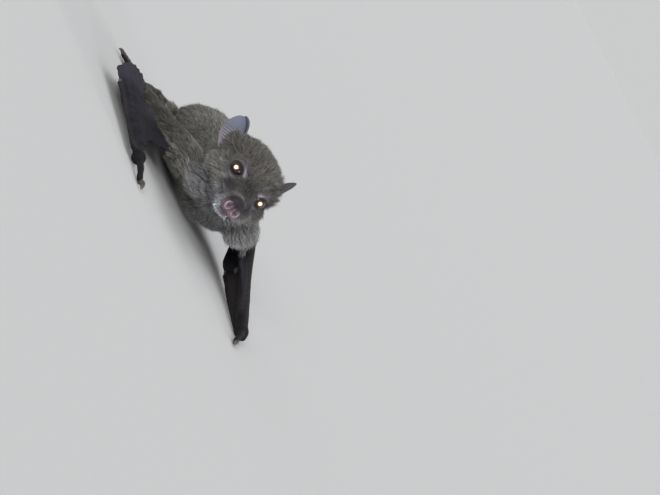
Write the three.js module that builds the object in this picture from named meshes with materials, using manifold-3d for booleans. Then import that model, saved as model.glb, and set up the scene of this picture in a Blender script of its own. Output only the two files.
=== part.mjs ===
// A cave-roosting fruit bat (a rousette), life size, crouched on a flat floor with its head turned
// to its right.  Millimetres, +Z up.  The bat faces -Y and its left side is +X.
//
// Every piece of flesh, bone or claw is described once, as a function that gives its shape with a
// little extra girth.  The pieces are then made one after another, and each is carved back from
// the ones already made, grown by the joint gap, so that neighbours meet and never overlap.
import * as THREE from "three";
import { mergeVertices } from "three/addons/utils/BufferGeometryUtils.js";
import Module from "manifold-3d";

const wasm = await Module();
wasm.setup();
const { Manifold, Mesh: SolidMesh } = wasm;

// ---------------------------------------------------------------- driving dimensions
const JOINT_GAP = 0.3; // clear space between neighbouring pieces
const SKIN_SHEET = 0.62; // thickness of the wing and tail membranes
const EAR_SHEET = 0.75; // thickness of the ear

const HEAD_AT = [-12.2, -32.3, 32]; // the point midway between the eyes
const HEAD_TURN = -9; // degrees about Z: towards the bat's right
const HEAD_NOD = 7; // degrees, nose down
const HEAD_TILT = -4.7; // degrees, left eye higher

const EYE_RADIUS = 3.7;
const EYE_AT = [7.1, -0.2, 0.4]; // in the head's frame, left side
const EAR_LENGTH = 15;
const EAR_WIDTH = 11;
const EARS = {
  left: { root: [11.4, 14.5, 2.6], axis: [0.42, 0.74, 0.46], opening: [1, -0.15, 0.1] },
  right: { root: [-14, 14.4, 0.2], axis: [-0.3, 0.72, 0.6], opening: [-0.72, -0.66, 0.2] },
};

// The two wings.  The left forearm is propped high on its wrist, the right one lies low.
const WINGS = {
  left: {
    side: 1,
    shoulder: [15.5, -9, 18.6],
    elbow: [33.8, 28.6, 17.8],
    wrist: [37, -45.1, 3],
    fan: [0.3, 0, -0.95],
    thumb: [-0.35, -0.94, 0],
  },
  right: {
    side: -1,
    shoulder: [-15.5, -8, 15],
    elbow: [-45, 30, 6.5],
    wrist: [-50, -45.5, 3],
    fan: [-1, 0, -0.05],
    thumb: [0.05, -1, 0],
  },
};
const WRIST_RADIUS = 3.2;
const THUMB_LENGTH = 15;
const THUMB_CLAW = { length: 5.5, radius: 1.05 };

// The long fingers fold back along the forearm: the palm bone, then a joint folded under it.
const FINGERS = [
  { name: "little_finger", palm: 47, joint: 25 },
  { name: "ring_finger", palm: 48, joint: 30 },
  { name: "middle_finger", palm: 50, joint: 38 },
];
const FINGER_RADIUS = 0.85;
const FOLD_DEPTH = 1.9; // how far the folded joint lies behind its palm bone
const INDEX_LENGTH = 49; // the second finger stays straight and ends in a claw
const INDEX_CLAW = { length: 3, radius: 0.7 };
const HAND_WEB_SPAN = [5, 75]; // how far back from the wrist its near and far edges lie
const HAND_WEB_WIDEST = 60; // how far back it is widest, past the finger joints
const HAND_WEB_NARROWING = 0.35; // the share of its width lost from there to its far edge
const FAN = { atWrist: 1.5, stepAtWrist: 0.75, atKnuckle: 5, stepAtKnuckle: 2.3 };

const LEG = { hip: [9, 51, 10], knee: [25.5, 47, 8.5], ankle: [23.5, 71.5, 3.4], toe: [0.4, 0.92, 0] };
const TOES = [-2, -1, 0, 1, 2];

// Head, snout to nape: centre, half width, height over and depth under, in the head's own frame.
const SKULL = [
  [[0, -15.2, -5.2], 3.9, 2.9, 2.4],
  [[0, -12, -4.8], 5.0, 3.9, 3.4],
  [[0, -8, -4.0], 5.9, 5.2, 5.2],
  [[0, -4, -2.8], 7.2, 6.8, 8.0],
  [[0, 0, -1.6], 9.6, 8.6, 10.6],
  [[0, 4.5, -0.8], 13.2, 10.9, 12.4],
  [[0, 10, -0.4], 16.3, 12.6, 13.4],
  [[0, 16, -0.4], 16.8, 12.6, 13.4],
  [[0, 22, -1.2], 14.2, 10.6, 12],
  [[0, 27.5, -2.4], 8.6, 6.6, 7.6],
];
const JAW = [
  [[0, -14.1, -9.7], 2.3, 1.5, 1.6],
  [[0, -10, -10.2], 4.0, 2.3, 2.0],
  [[0, -5, -11], 5.6, 3.2, 2.4],
  [[0, 1, -12.2], 6.6, 3.6, 2.6],
  [[0, 7, -12.4], 4.8, 3.2, 2.4],
];
const NOSE = [
  [[0, -17.9, -5.3], 2.9, 2.8, 2.7],
  [[0, -16.2, -5.1], 4.3, 4.2, 3.7],
  [[0, -12.8, -4.7], 4.8, 4.5, 3.7],
];
const NOSTRIL = { at: [1.95, -18.1, -5.9], radius: 1.05 };

// Neck and trunk, nape to rump, out to the tips of the coat, in the bat's frame.
const TRUNK = [
  [[-7.5, -18, 25], 14.4, 12.2, 13],
  [[-4.2, -10, 22.5], 18.3, 14.6, 16],
  [[-1.4, -2, 20], 20.2, 16, 18.9],
  [[0, 7, 18.6], 20, 16.6, 19],
  [[0, 18, 18.2], 20.2, 17.2, 18.7],
  [[0, 30, 17.6], 20.4, 17, 18],
  [[0, 42, 16], 19.4, 16, 16.4],
  [[0, 53, 13.4], 15.2, 13.2, 13.6],
  [[0, 62, 11], 9.6, 9, 9.6],
  [[0, 68, 9.8], 4.4, 4.4, 4.4],
];
const NECK_END = -5;
const CHEST_END = 30;
const TAIL = [[[0, 65, 9.4], 2.1], [[0, 71, 10], 1.7], [[0, 77, 11.6], 1.2], [[0, 81, 13.2], 0.8]];

// ---------------------------------------------------------------- points and directions
const UP = new THREE.Vector3(0, 0, 1);
const vec = (p) => (p.isVector3 ? p.clone() : new THREE.Vector3(...p));
const between = (a, b, t) => vec(a).lerp(vec(b), t);
const mirrored = (p, side) => [p[0] * side, p[1], p[2]];
const offset = (p, ...moves) => moves.reduce((q, [way, far]) => q.addScaledVector(vec(way), far), vec(p));
const upright = (way, axis) => vec(way).addScaledVector(axis, -vec(way).dot(axis)).normalize();

const HEAD_FRAME = new THREE.Matrix4().compose(
  vec(HEAD_AT),
  new THREE.Quaternion().setFromEuler(
    new THREE.Euler(...[HEAD_NOD, HEAD_TILT, HEAD_TURN].map(THREE.MathUtils.degToRad), "ZXY"),
  ),
  new THREE.Vector3(1, 1, 1),
);

// A smooth curve through points, as a function of 0 to 1.
function curve(...points) {
  const line = new THREE.CatmullRomCurve3(points.map(vec), false, "centripetal");
  return (t) => line.getPoint(t);
}

// ---------------------------------------------------------------- solids
// A BufferGeometry as a solid, turned inside out if its faces point inwards.
function solidOf(geometry, matrix = new THREE.Matrix4()) {
  const bare = new THREE.BufferGeometry();
  bare.setAttribute("position", geometry.getAttribute("position").clone());
  bare.setIndex(geometry.index.clone());
  const merged = mergeVertices(bare.applyMatrix4(matrix), 1e-4);
  const places = merged.attributes.position.array;
  const corners = new Uint32Array(merged.index.array);
  if (sixVolumes(places, corners) < 0) {
    for (let i = 0; i < corners.length; i += 3) {
      corners.set([corners[i + 1], corners[i]], i);
    }
  }
  return new Manifold(new SolidMesh({ numProp: 3, vertProperties: places, triVerts: corners }));
}

function sixVolumes(places, corners) {
  const at = (i) => new THREE.Vector3().fromArray(places, 3 * i);
  let sum = 0;
  for (let i = 0; i < corners.length; i += 3) {
    sum += at(corners[i]).dot(at(corners[i + 1]).cross(at(corners[i + 2])));
  }
  return sum;
}

// A closed surface through rings of points.  An end is a fan round its middle, or, for a sheet,
// the strip between the ring's front half and its back half.
function skinOver(rings, { strips = false } = {}) {
  const sides = rings[0].length;
  const places = rings.flat().flatMap((p) => p.toArray());
  const faces = [];
  for (let i = 0; i + 1 < rings.length; i++) {
    for (let j = 0; j < sides; j++) {
      const [a, b] = [i * sides + j, i * sides + ((j + 1) % sides)];
      faces.push(a, b, b + sides, a, b + sides, a + sides);
    }
  }
  const close = (start, turned) => {
    const add = (...corners) => faces.push(...(turned ? corners.reverse() : corners));
    if (strips) {
      for (let j = 0; j + 1 < sides / 2; j++) {
        const [a, b, c, d] = [start + j, start + j + 1, start + sides - 2 - j, start + sides - 1 - j];
        add(a, b, c);
        add(a, c, d);
      }
      return;
    }
    const ring = rings[start / sides];
    const middle = places.length / 3;
    places.push(...ring.reduce((sum, p) => sum.add(p), new THREE.Vector3()).divideScalar(sides).toArray());
    for (let j = 0; j < sides; j++) add(start + j, start + ((j + 1) % sides), middle);
  };
  close(0, true);
  close((rings.length - 1) * sides, false);
  return new THREE.BufferGeometry()
    .setAttribute("position", new THREE.Float32BufferAttribute(places, 3))
    .setIndex(faces);
}

// A rounded body through stations of [centre, half width, height over, depth under], resampled
// smoothly.  Both ends close like an egg.
function loft(stations, { rings = 10, sides = 14, blunt = 0.16, grow = 0, matrix } = {}) {
  const path = new THREE.CatmullRomCurve3(stations.map((s) => vec(s[0])), false, "centripetal");
  const girths = new THREE.CatmullRomCurve3(stations.map((s) => vec(s.slice(1))), false, "catmullrom");
  const made = Array.from({ length: rings + 1 }, (_, i) => {
    const t = (1 - Math.cos((Math.PI * (i + 0.35)) / (rings + 0.7))) / 2;
    const toEnd = Math.min(1, t / blunt, (1 - t) / blunt);
    const taper = Math.sqrt(1 - (1 - toEnd) ** 2);
    const along = path.getTangent(t);
    const across = new THREE.Vector3().crossVectors(along, UP).normalize();
    const over = new THREE.Vector3().crossVectors(across, along).normalize();
    const [wide, high, deep] = girths.getPoint(t).multiplyScalar(taper).addScalar(grow).toArray();
    const push = (i === rings ? grow : 0) - (i === 0 ? grow : 0);
    const centre = path.getPoint(t).addScaledVector(along, push);
    return Array.from({ length: sides }, (_, j) => {
      const a = (2 * Math.PI * (j + 0.5)) / sides;
      const tall = Math.sin(a) > 0 ? high : deep;
      return offset(centre, [across, wide * Math.cos(a)], [over, tall * Math.sin(a)]);
    });
  });
  return solidOf(skinOver(made), matrix);
}

// A round limb, finger or claw with a ring at each station of [centre, radius].  The ring's
// frame is carried along without twisting, and each end is drawn in a little.
function limb(stations, { sides = 7, grow = 0 } = {}) {
  const centres = stations.map(([at]) => vec(at));
  const last = centres.length - 1;
  const ways = centres.map((_, i) =>
    centres[Math.min(last, i + 1)].clone().sub(centres[Math.max(0, i - 1)]).normalize(),
  );
  let across = new THREE.Vector3().crossVectors(ways[0], Math.abs(ways[0].z) > 0.9 ? vec([1, 0, 0]) : UP);
  const rings = [];
  centres.forEach((centre, i) => {
    across = upright(across, ways[i]);
    const over = new THREE.Vector3().crossVectors(across, ways[i]);
    const radius = stations[i][1] + grow;
    const ring = (middle, r) =>
      Array.from({ length: sides }, (_, j) => {
        const a = (2 * Math.PI * j) / sides;
        return offset(middle, [across, r * Math.cos(a)], [over, r * Math.sin(a)]);
      });
    if (i === 0) rings.push(ring(offset(centre, [ways[i], -0.45 * radius]), 0.6 * radius));
    rings.push(ring(centre, radius));
    if (i === last) rings.push(ring(offset(centre, [ways[i], 0.45 * radius]), 0.6 * radius));
  });
  return solidOf(skinOver(rings));
}

// A thin sheet of even thickness over a surface given by point(along, across), both 0 to 1.
function sheet(point, { along = 8, across = 5, thick = SKIN_SHEET, grow = 0, matrix } = {}) {
  const half = thick / 2 + grow;
  const step = 1e-3;
  const outward = (t) => (t === 1 ? grow : t === 0 ? -grow : 0);
  const face = (sign) => ([u, v]) => {
    const du = point(Math.min(1, u + step), v).sub(point(Math.max(0, u - step), v)).normalize();
    const dv = point(u, Math.min(1, v + step)).sub(point(u, Math.max(0, v - step))).normalize();
    const normal = new THREE.Vector3().crossVectors(du, dv).normalize();
    return offset(point(u, v), [normal, sign * half], [du, outward(u)], [dv, outward(v)]);
  };
  const rings = Array.from({ length: along + 1 }, (_, i) => {
    const row = Array.from({ length: across + 1 }, (_, j) => [i / along, j / across]);
    return [...row.map(face(1)), ...row.map(face(-1)).reverse()];
  });
  return solidOf(skinOver(rings, { strips: true }), matrix);
}

function ball(centre, radius, { matrix = new THREE.Matrix4(), detail = 11 } = {}) {
  const placed = matrix.clone().multiply(new THREE.Matrix4().makeTranslation(vec(centre)));
  return solidOf(new THREE.SphereGeometry(radius, detail, Math.round(detail * 0.65)), placed);
}

function block(low, high) {
  const [a, b] = [vec(low), vec(high)];
  const size = b.clone().sub(a);
  const box = new THREE.BoxGeometry(size.x, size.y, size.z);
  return solidOf(box, new THREE.Matrix4().makeTranslation(a.lerp(b, 0.5)));
}

const union = (solids) => solids.reduce((all, one) => all.add(one));
const largest = (solid) => solid.decompose().sort((a, b) => b.volume() - a.volume())[0];

// ---------------------------------------------------------------- head
const skull = (grow) => loft(SKULL, { rings: 12, sides: 16, blunt: 0.07, grow, matrix: HEAD_FRAME });
const lowerJaw = (grow) => loft(JAW, { rings: 6, sides: 10, blunt: 0.14, grow, matrix: HEAD_FRAME });
const eyeball = (side) => (grow) => ball(mirrored(EYE_AT, side), EYE_RADIUS + grow, { matrix: HEAD_FRAME });

// The bare tip of the nose, with its two nostrils opening forwards and outwards.
function nosePad(grow) {
  const pad = loft(NOSE, { rings: 5, sides: 14, blunt: 0.3, grow, matrix: HEAD_FRAME });
  if (grow) return pad;
  const hollows = [1, -1].map((side) =>
    ball(mirrored(NOSTRIL.at, side), NOSTRIL.radius, { matrix: HEAD_FRAME, detail: 7 }),
  );
  return pad.subtract(union(hollows));
}

// The ear is a funnel that opens to the front and the side: a curled sheet with a blunt tip.
const ear = ({ root, axis, opening }) => (grow) => {
  const along = vec(axis).normalize();
  const open = upright(opening, along);
  const beside = new THREE.Vector3().crossVectors(along, open);
  const point = (t, w) => {
    const bluntTip = Math.sqrt(Math.max(0, 1 - (Math.max(0, t - 0.35) / 0.66) ** 2.2));
    const half = (EAR_WIDTH / 2) * (0.72 + 0.5 * t * (1 - t)) * bluntTip + 0.35;
    const a = (2 * w - 1) * THREE.MathUtils.lerp(1.75, 0.95, t);
    return offset(
      root,
      [along, EAR_LENGTH * t - 1],
      [beside, half * Math.sin(a)],
      [open, half * (0.55 - 0.8 * Math.cos(a))],
    );
  };
  return sheet(point, { along: 7, across: 6, thick: EAR_SHEET, grow, matrix: HEAD_FRAME });
};

// ---------------------------------------------------------------- neck, trunk and tail
// One body from the nape to the rump, parted across by thin cuts.
const FAR = 200;
const trunk = (from, to, { rings, sides }) => (grow) => {
  const slice = block(
    [-FAR, from + JOINT_GAP / 2 - grow, -FAR],
    [FAR, to - JOINT_GAP / 2 + grow, FAR],
  );
  return loft(TRUNK, { rings, sides, blunt: 0.05, grow }).intersect(slice);
};
const TRUNK_MESH = { rings: 14, sides: 16 };
const tail = (grow) => limb(TAIL, { sides: 6, grow });

// ---------------------------------------------------------------- wings
function claw(root, way, { length, radius }) {
  return (grow) =>
    limb(
      [
        [root, radius],
        [offset(root, [way, length * 0.5], [UP, length * 0.16]), radius * 0.85],
        [offset(root, [way, length], [UP, -length * 0.05]), radius * 0.4],
      ],
      { sides: 5, grow },
    );
}

function wingPieces(name, { side, shoulder, elbow, wrist, fan, thumb }) {
  const reach = vec(wrist).sub(vec(elbow)).normalize(); // from elbow to wrist
  const fold = upright(fan, reach); // across the folded fingers, away from the forearm
  const inward = new THREE.Vector3().crossVectors(fold, reach).multiplyScalar(-side);
  const thumbWay = vec(thumb).normalize();
  const fanAt = (k, t) =>
    THREE.MathUtils.lerp(FAN.atWrist + k * FAN.stepAtWrist, FAN.atKnuckle + k * FAN.stepAtKnuckle, t);
  const onFinger = (k, back, depth = 0) =>
    offset(wrist, [reach, -back], [fold, fanAt(k, back / INDEX_LENGTH)], [inward, depth]);

  const upperArm = (grow) =>
    loft(
      [
        [offset(shoulder, [[0, -1, 0], 6]), 7, 6.6, 7.6],
        [between(shoulder, elbow, 0.2), 9.2, 7.9, 8.7],
        [between(shoulder, elbow, 0.55), 6.6, 6, 6],
        [between(shoulder, elbow, 0.85), 4.4, 4.1, 4.1],
        [between(shoulder, elbow, 1.04), 3.2, 3.1, 3.1],
      ],
      { rings: 7, sides: 10, grow },
    );
  const forearmGirths = [[0, 3.5], [0.15, 3.9], [0.45, 2.9], [0.75, 2.1], [0.97, 2.2]];
  const forearm = (grow) =>
    limb(forearmGirths.map(([t, r]) => [between(elbow, wrist, t), r]), { sides: 8, grow });
  const wristKnob = (grow) => ball(wrist, WRIST_RADIUS + grow);

  const thumbRoot = offset(wrist, [thumbWay, 2]);
  const thumbTip = offset(thumbRoot, [thumbWay, THUMB_LENGTH], [UP, 1.2 - thumbRoot.z]);
  const thumbPiece = (grow) =>
    limb(
      [
        [thumbRoot, 1.7],
        [offset(between(thumbRoot, thumbTip, 0.45), [UP, 0.5]), 1.3],
        [between(thumbRoot, thumbTip, 0.8), 1.35],
        [thumbTip, 1.15],
      ],
      { grow },
    );

  const finger = ({ palm, joint }, k) => (grow) =>
    limb(
      [
        [onFinger(k, 2), FINGER_RADIUS * 1.15],
        [onFinger(k, palm * 0.5), FINGER_RADIUS * 0.9],
        [onFinger(k, palm - 1), FINGER_RADIUS],
        [onFinger(k, palm + 0.6, FOLD_DEPTH / 2), FINGER_RADIUS * 0.95],
        [onFinger(k, palm - 1.5, FOLD_DEPTH), FINGER_RADIUS * 0.8],
        [onFinger(k, palm - joint, FOLD_DEPTH), FINGER_RADIUS * 0.65],
      ],
      { sides: 5, grow },
    );
  const indexFinger = (grow) =>
    limb(
      [
        [onFinger(3, 2), FINGER_RADIUS * 1.1],
        [onFinger(3, INDEX_LENGTH * 0.5), FINGER_RADIUS * 0.8],
        [onFinger(3, INDEX_LENGTH), FINGER_RADIUS * 0.8],
      ],
      { sides: 5, grow },
    );

  // The pleated web of the folded hand lies behind the fingers, one pleat between each two.
  const handWeb = (grow) => {
    const pleats = FINGERS.length + 1;
    const point = (t, w) => {
      const back = HAND_WEB_SPAN[0] + (HAND_WEB_SPAN[1] - HAND_WEB_SPAN[0]) * t;
      const beyond = THREE.MathUtils.smoothstep(back, HAND_WEB_WIDEST, HAND_WEB_SPAN[1]);
      const widest = fanAt(3, Math.min(back, HAND_WEB_WIDEST) / INDEX_LENGTH);
      const across = widest * w * (1 - HAND_WEB_NARROWING * beyond);
      const pleat = 0.5 - 0.5 * Math.cos(2 * Math.PI * pleats * w);
      return offset(wrist, [reach, -back], [fold, across], [inward, FOLD_DEPTH + 1.5 + 1.3 * t * pleat]);
    };
    return sheet(point, { along: 5, across: 2 * pleats, grow });
  };

  // The web in front of the elbow, from the shoulder to the wrist, slack along its free edge.
  const shoulderWeb = (grow) => {
    const armFront = offset(shoulder, [[side, -1, 0], 4]);
    const point = (t, w) => {
      const slack = Math.sin(Math.PI * w);
      const out = 0.16 + t * (0.8 - 0.24 * slack);
      const ripple = 0.7 * Math.sin(7 * w + 3 * t);
      const place = between(elbow, armFront, out).lerp(between(elbow, wrist, out), w);
      return offset(place, [UP, slack * (ripple - 2.2 * t)]);
    };
    return sheet(point, { along: 6, across: 6, grow });
  };

  // The web behind the elbow, from the flank and the shank to the arm, in loose folds.
  const flankWeb = (grow) => {
    const inner = curve(
      mirrored([14, 4, 8], side),
      mirrored([17.5, 20, 7.5], side),
      mirrored([15, 38, 7], side),
      offset(mirrored(LEG.ankle, side), [UP, 1]),
    );
    const outer = curve(
      between(shoulder, elbow, 0.12),
      between(shoulder, elbow, 0.55),
      offset(elbow, [[0, 1, 0], 1], [UP, -2.5]),
      offset(elbow, [[0, 1, 0], 7], [UP, -4]),
    );
    const point = (t, w) => {
      const slack = Math.sin(Math.PI * w);
      const out = t * (1 - 0.14 * slack);
      const pleat = 1.1 * Math.sin(3.2 * Math.PI * w + 2 * t);
      return offset(inner(out).lerp(outer(out), w), [UP, slack * t * (pleat - 2.4)]);
    };
    return sheet(point, { along: 8, across: 6, grow });
  };

  const thumbClaw = claw(offset(thumbTip, [thumbWay, 1]), thumbWay, THUMB_CLAW);
  const indexClaw = claw(onFinger(3, INDEX_LENGTH + 1), reach.clone().negate(), INDEX_CLAW);
  return {
    flesh: [
      [`wrist_${name}`, "skin", wristKnob],
      [`forearm_${name}`, "skin", forearm],
      [`thumb_${name}`, "skin", thumbPiece],
      [`thumb_claw_${name}`, "claw", thumbClaw],
      [`index_finger_${name}`, "skin", indexFinger],
      [`index_claw_${name}`, "claw", indexClaw],
      ...FINGERS.map((bones, k) => [`${bones.name}_${name}`, "skin", finger(bones, k)]),
      [`upper_arm_${name}`, "fur", upperArm],
    ],
    webs: [
      [`hand_membrane_${name}`, "membrane", handWeb],
      [`shoulder_membrane_${name}`, "membrane", shoulderWeb],
      [`flank_membrane_${name}`, "membrane", flankWeb],
    ],
  };
}

// ---------------------------------------------------------------- hind legs
function legPieces(name, side) {
  const onSide = (p) => vec(mirrored(p, side));
  const [hip, knee, ankle, toeWay] = [LEG.hip, LEG.knee, LEG.ankle, LEG.toe].map(onSide);
  const beside = new THREE.Vector3().crossVectors(toeWay, UP);
  const thighGirths = [[0, 6.2], [0.5, 5], [1, 3.3]];
  const thigh = (grow) => limb(thighGirths.map(([t, r]) => [between(hip, knee, t), r]), { sides: 9, grow });
  const shankGirths = [[0, 2.9], [0.3, 2.7], [0.95, 1.7]];
  const shank = (grow) => limb(shankGirths.map(([t, r]) => [between(knee, ankle, t), r]), { grow });

  const toe = (place, grow) => {
    const root = offset(ankle, [toeWay, 6.5], [beside, 1.35 * place], [UP, -2]);
    const way = offset(toeWay, [beside, 0.11 * place]).normalize();
    return limb(
      [
        [root, 1.0],
        [offset(root, [way, 3.8], [UP, 0.5]), 0.95],
        [offset(root, [way, 8], [UP, 0.2]), 0.85],
        [offset(root, [way, 11.2], [UP, -0.7]), 0.38],
      ],
      { sides: 5, grow },
    );
  };
  const foot = (grow) => {
    const sole = loft(
      [
        [offset(ankle, [toeWay, -1.5], [UP, -0.6]), 2.1, 2.1, 2.2],
        [offset(ankle, [toeWay, 3], [UP, -1.4]), 3.0, 1.9, 2.1],
        [offset(ankle, [toeWay, 8], [UP, -1.9]), 3.7, 1.4, 1.6],
      ],
      { rings: 4, sides: 8, grow },
    );
    return union([sole, ...TOES.map((place) => toe(place, grow))]);
  };

  // The narrow web from the root of the tail to the shank, deeply cut out behind.
  const tailWeb = (grow) => {
    const inner = curve([5 * side, 59, 7.6], [4 * side, 64, 7.6], [3 * side, 69.5, 7.8]);
    const outer = curve(between(knee, ankle, 0.12), between(knee, ankle, 0.5), between(knee, ankle, 0.94));
    const point = (t, w) => {
      const slack = Math.sin(Math.PI * w);
      const out = t * (1 - 0.35 * slack);
      return offset(inner(out).lerp(outer(out), w), [UP, -0.8 * slack]);
    };
    return sheet(point, { along: 3, across: 4, grow });
  };
  return {
    flesh: [
      [`foot_${name}`, "skin", foot],
      [`shank_${name}`, "skin", shank],
      [`thigh_${name}`, "fur", thigh],
    ],
    webs: [[`tail_membrane_${name}`, "membrane", tailWeb]],
  };
}

// ---------------------------------------------------------------- all the pieces, firmest first
const limbs = [
  ...Object.entries(WINGS).map(([name, wing]) => wingPieces(name, wing)),
  legPieces("left", 1),
  legPieces("right", -1),
];
const PIECES = [
  ["eye_left", "eye", eyeball(1)],
  ["eye_right", "eye", eyeball(-1)],
  ["nose", "nose", nosePad],
  ["lower_jaw", "fur", lowerJaw],
  ["head", "fur", skull],
  ["ear_left", "ear", ear(EARS.left)],
  ["ear_right", "ear", ear(EARS.right)],
  ["neck", "fur", trunk(-FAR, NECK_END, TRUNK_MESH)],
  ["chest", "fur", trunk(NECK_END, CHEST_END, TRUNK_MESH)],
  ["abdomen", "fur", trunk(CHEST_END, FAR, TRUNK_MESH)],
  ["tail", "skin", tail],
  ...limbs.flatMap(({ flesh }) => flesh),
  ...limbs.flatMap(({ webs }) => webs),
];

const LOOKS = {
  fur: { color: 0x5b5a55, roughness: 0.9 },
  skin: { color: 0x2c2a2d, roughness: 0.6 },
  membrane: { color: 0x201e24, roughness: 0.55 },
  nose: { color: 0x7a5c62, roughness: 0.5 },
  ear: { color: 0x6a6d80, roughness: 0.6 },
  eye: { color: 0x0c0908, roughness: 0.08 },
  claw: { color: 0x3d3733, roughness: 0.35 },
};

// ---------------------------------------------------------------- carving and assembly
const floor = block([-FAR, -FAR, -FAR], [FAR, FAR, 0]);
const near = (a, b) => [0, 1, 2].every((i) => a.min[i] <= b.max[i] + 1 && b.min[i] <= a.max[i] + 1);

const made = [];
for (const [name, look, shape] of PIECES) {
  let solid = shape(0).subtract(floor);
  const box = solid.boundingBox();
  for (const other of made.filter((m) => near(box, m.box))) solid = solid.subtract(other.grown);
  made.push({ name, look, box, solid: largest(solid), grown: shape(JOINT_GAP) });
}

function meshOf({ name, look, solid }) {
  const { numVert, numProp, vertProperties, triVerts } = solid.getMesh();
  const places = new Float32Array(numVert * 3);
  for (let i = 0; i < numVert; i++) {
    places.set(vertProperties.subarray(i * numProp, i * numProp + 3), i * 3);
  }
  const geometry = new THREE.BufferGeometry()
    .setAttribute("position", new THREE.BufferAttribute(places, 3))
    .setIndex(new THREE.BufferAttribute(triVerts, 1));
  geometry.computeVertexNormals();
  const mesh = new THREE.Mesh(geometry, new THREE.MeshStandardMaterial({ metalness: 0, ...LOOKS[look] }));
  mesh.name = name;
  return mesh;
}

const bat = new THREE.Group();
bat.add(...made.map(meshOf));

// The origin is on the floor, under the middle of the bat's box.
const bounds = new THREE.Box3().setFromObject(bat, true);
const middle = bounds.getCenter(new THREE.Vector3());
bat.position.set(-middle.x, -middle.y, -bounds.min.z);

export default bat;
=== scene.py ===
"""A rousette fruit bat, life size, crouched on a floor with its head turned to its right."""
import math

import bmesh
import bpy
import numpy as np
from mathutils import Matrix, Vector
from mathutils.kdtree import KDTree


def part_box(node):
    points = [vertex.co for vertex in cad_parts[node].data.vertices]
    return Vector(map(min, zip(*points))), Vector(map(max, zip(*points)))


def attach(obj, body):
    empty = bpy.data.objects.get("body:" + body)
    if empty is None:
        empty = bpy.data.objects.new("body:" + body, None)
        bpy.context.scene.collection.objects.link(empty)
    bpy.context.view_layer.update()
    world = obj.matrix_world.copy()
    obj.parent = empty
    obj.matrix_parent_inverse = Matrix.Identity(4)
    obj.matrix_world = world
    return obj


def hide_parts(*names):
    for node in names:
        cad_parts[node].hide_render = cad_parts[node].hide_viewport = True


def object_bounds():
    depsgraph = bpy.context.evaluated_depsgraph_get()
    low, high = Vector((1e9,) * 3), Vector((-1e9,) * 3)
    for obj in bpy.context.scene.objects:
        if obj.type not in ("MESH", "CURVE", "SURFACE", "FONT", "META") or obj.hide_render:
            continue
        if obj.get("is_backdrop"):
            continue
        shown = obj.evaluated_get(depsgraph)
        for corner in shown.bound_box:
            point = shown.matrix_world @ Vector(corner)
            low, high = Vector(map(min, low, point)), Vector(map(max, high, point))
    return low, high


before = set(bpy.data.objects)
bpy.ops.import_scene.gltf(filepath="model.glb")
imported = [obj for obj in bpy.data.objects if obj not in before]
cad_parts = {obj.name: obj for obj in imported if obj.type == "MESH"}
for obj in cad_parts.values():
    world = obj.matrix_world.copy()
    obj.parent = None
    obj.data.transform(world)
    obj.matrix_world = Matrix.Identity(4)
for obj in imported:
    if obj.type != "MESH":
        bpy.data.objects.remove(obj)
cad_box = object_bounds()

# ---------------------------------------------------------------- stance
# The bat is described in millimetres in its own frame: it faces -Y, its left side is +X, the
# midline is X = 0 and the floor Z = 0.  The tail and the cut before the abdomen place that frame.
MM = 0.001
ABDOMEN_FROM = 30.15
tail_low, tail_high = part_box("tail")
STANCE = np.array([(tail_low.x + tail_high.x) / 2 / MM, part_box("abdomen")[0].y / MM - ABDOMEN_FROM, 0])

HEAD_AT = np.array([-12.2, -32.3, 32.0])  # midway between the eyes
HEAD_TURN = -9  # degrees about Z, towards the bat's right
HEAD_NOD = 7  # nose down
HEAD_TILT = -4.7  # left eye higher


def turned(axis, degrees):
    return np.array(Matrix.Rotation(math.radians(degrees), 3, axis))


HEAD_AXES = turned("Z", HEAD_TURN) @ turned("X", HEAD_NOD) @ turned("Y", HEAD_TILT)


def from_head(points):
    return HEAD_AT + np.asarray(points, float) @ HEAD_AXES.T


def to_head(points):
    return (np.asarray(points, float) - HEAD_AT) @ HEAD_AXES


# ---------------------------------------------------------------- camera
# A long lens a metre and a half away, low in front of the bat and to its right, rolled so that
# the bat clings head down across the picture.  The bat fills only the picture's left part.
CAMERA_AZIMUTH = -28
CAMERA_HEIGHT = 5  # degrees above the horizon
CAMERA_ROLL = 63.08
CAMERA_FAR = 1480  # millimetres from the head
CAMERA_LENS = 210
AIM = (31.9, -24.0)  # the picture's middle, right of and above the eyes


def way_to(azimuth, height):
    """The way from the bat to what stands at an azimuth and a height, both in degrees."""
    turn, rise = math.radians(azimuth), math.radians(height)
    flat = math.cos(rise)
    return np.array([math.sin(turn) * flat, -math.cos(turn) * flat, math.sin(rise)])


view_back = way_to(CAMERA_AZIMUTH, CAMERA_HEIGHT)
level = way_to(CAMERA_AZIMUTH + 90, 0)
upward = np.cross(view_back, level)
roll = math.radians(CAMERA_ROLL)
view_right = level * math.cos(roll) + upward * math.sin(roll)
view_up = upward * math.cos(roll) - level * math.sin(roll)
camera_at = HEAD_AT + AIM[0] * view_right + AIM[1] * view_up + CAMERA_FAR * view_back

camera = bpy.data.objects.new("camera", bpy.data.cameras.new("camera"))
camera.data.lens = CAMERA_LENS
camera.data.clip_start = 0.01
camera.data.clip_end = 200
pose = Matrix(np.column_stack([view_right, view_up, view_back]).tolist()).to_4x4()
pose.translation = Vector((camera_at + STANCE) * MM)
camera.matrix_world = pose
bpy.context.scene.collection.objects.link(camera)
bpy.context.scene.camera = camera


# ---------------------------------------------------------------- studio
# A plain pale floor with a fine matt grain, a soft light beside the camera, two small ones that
# spark in the eyes, a wide one above and behind, and an even pale surround.


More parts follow.
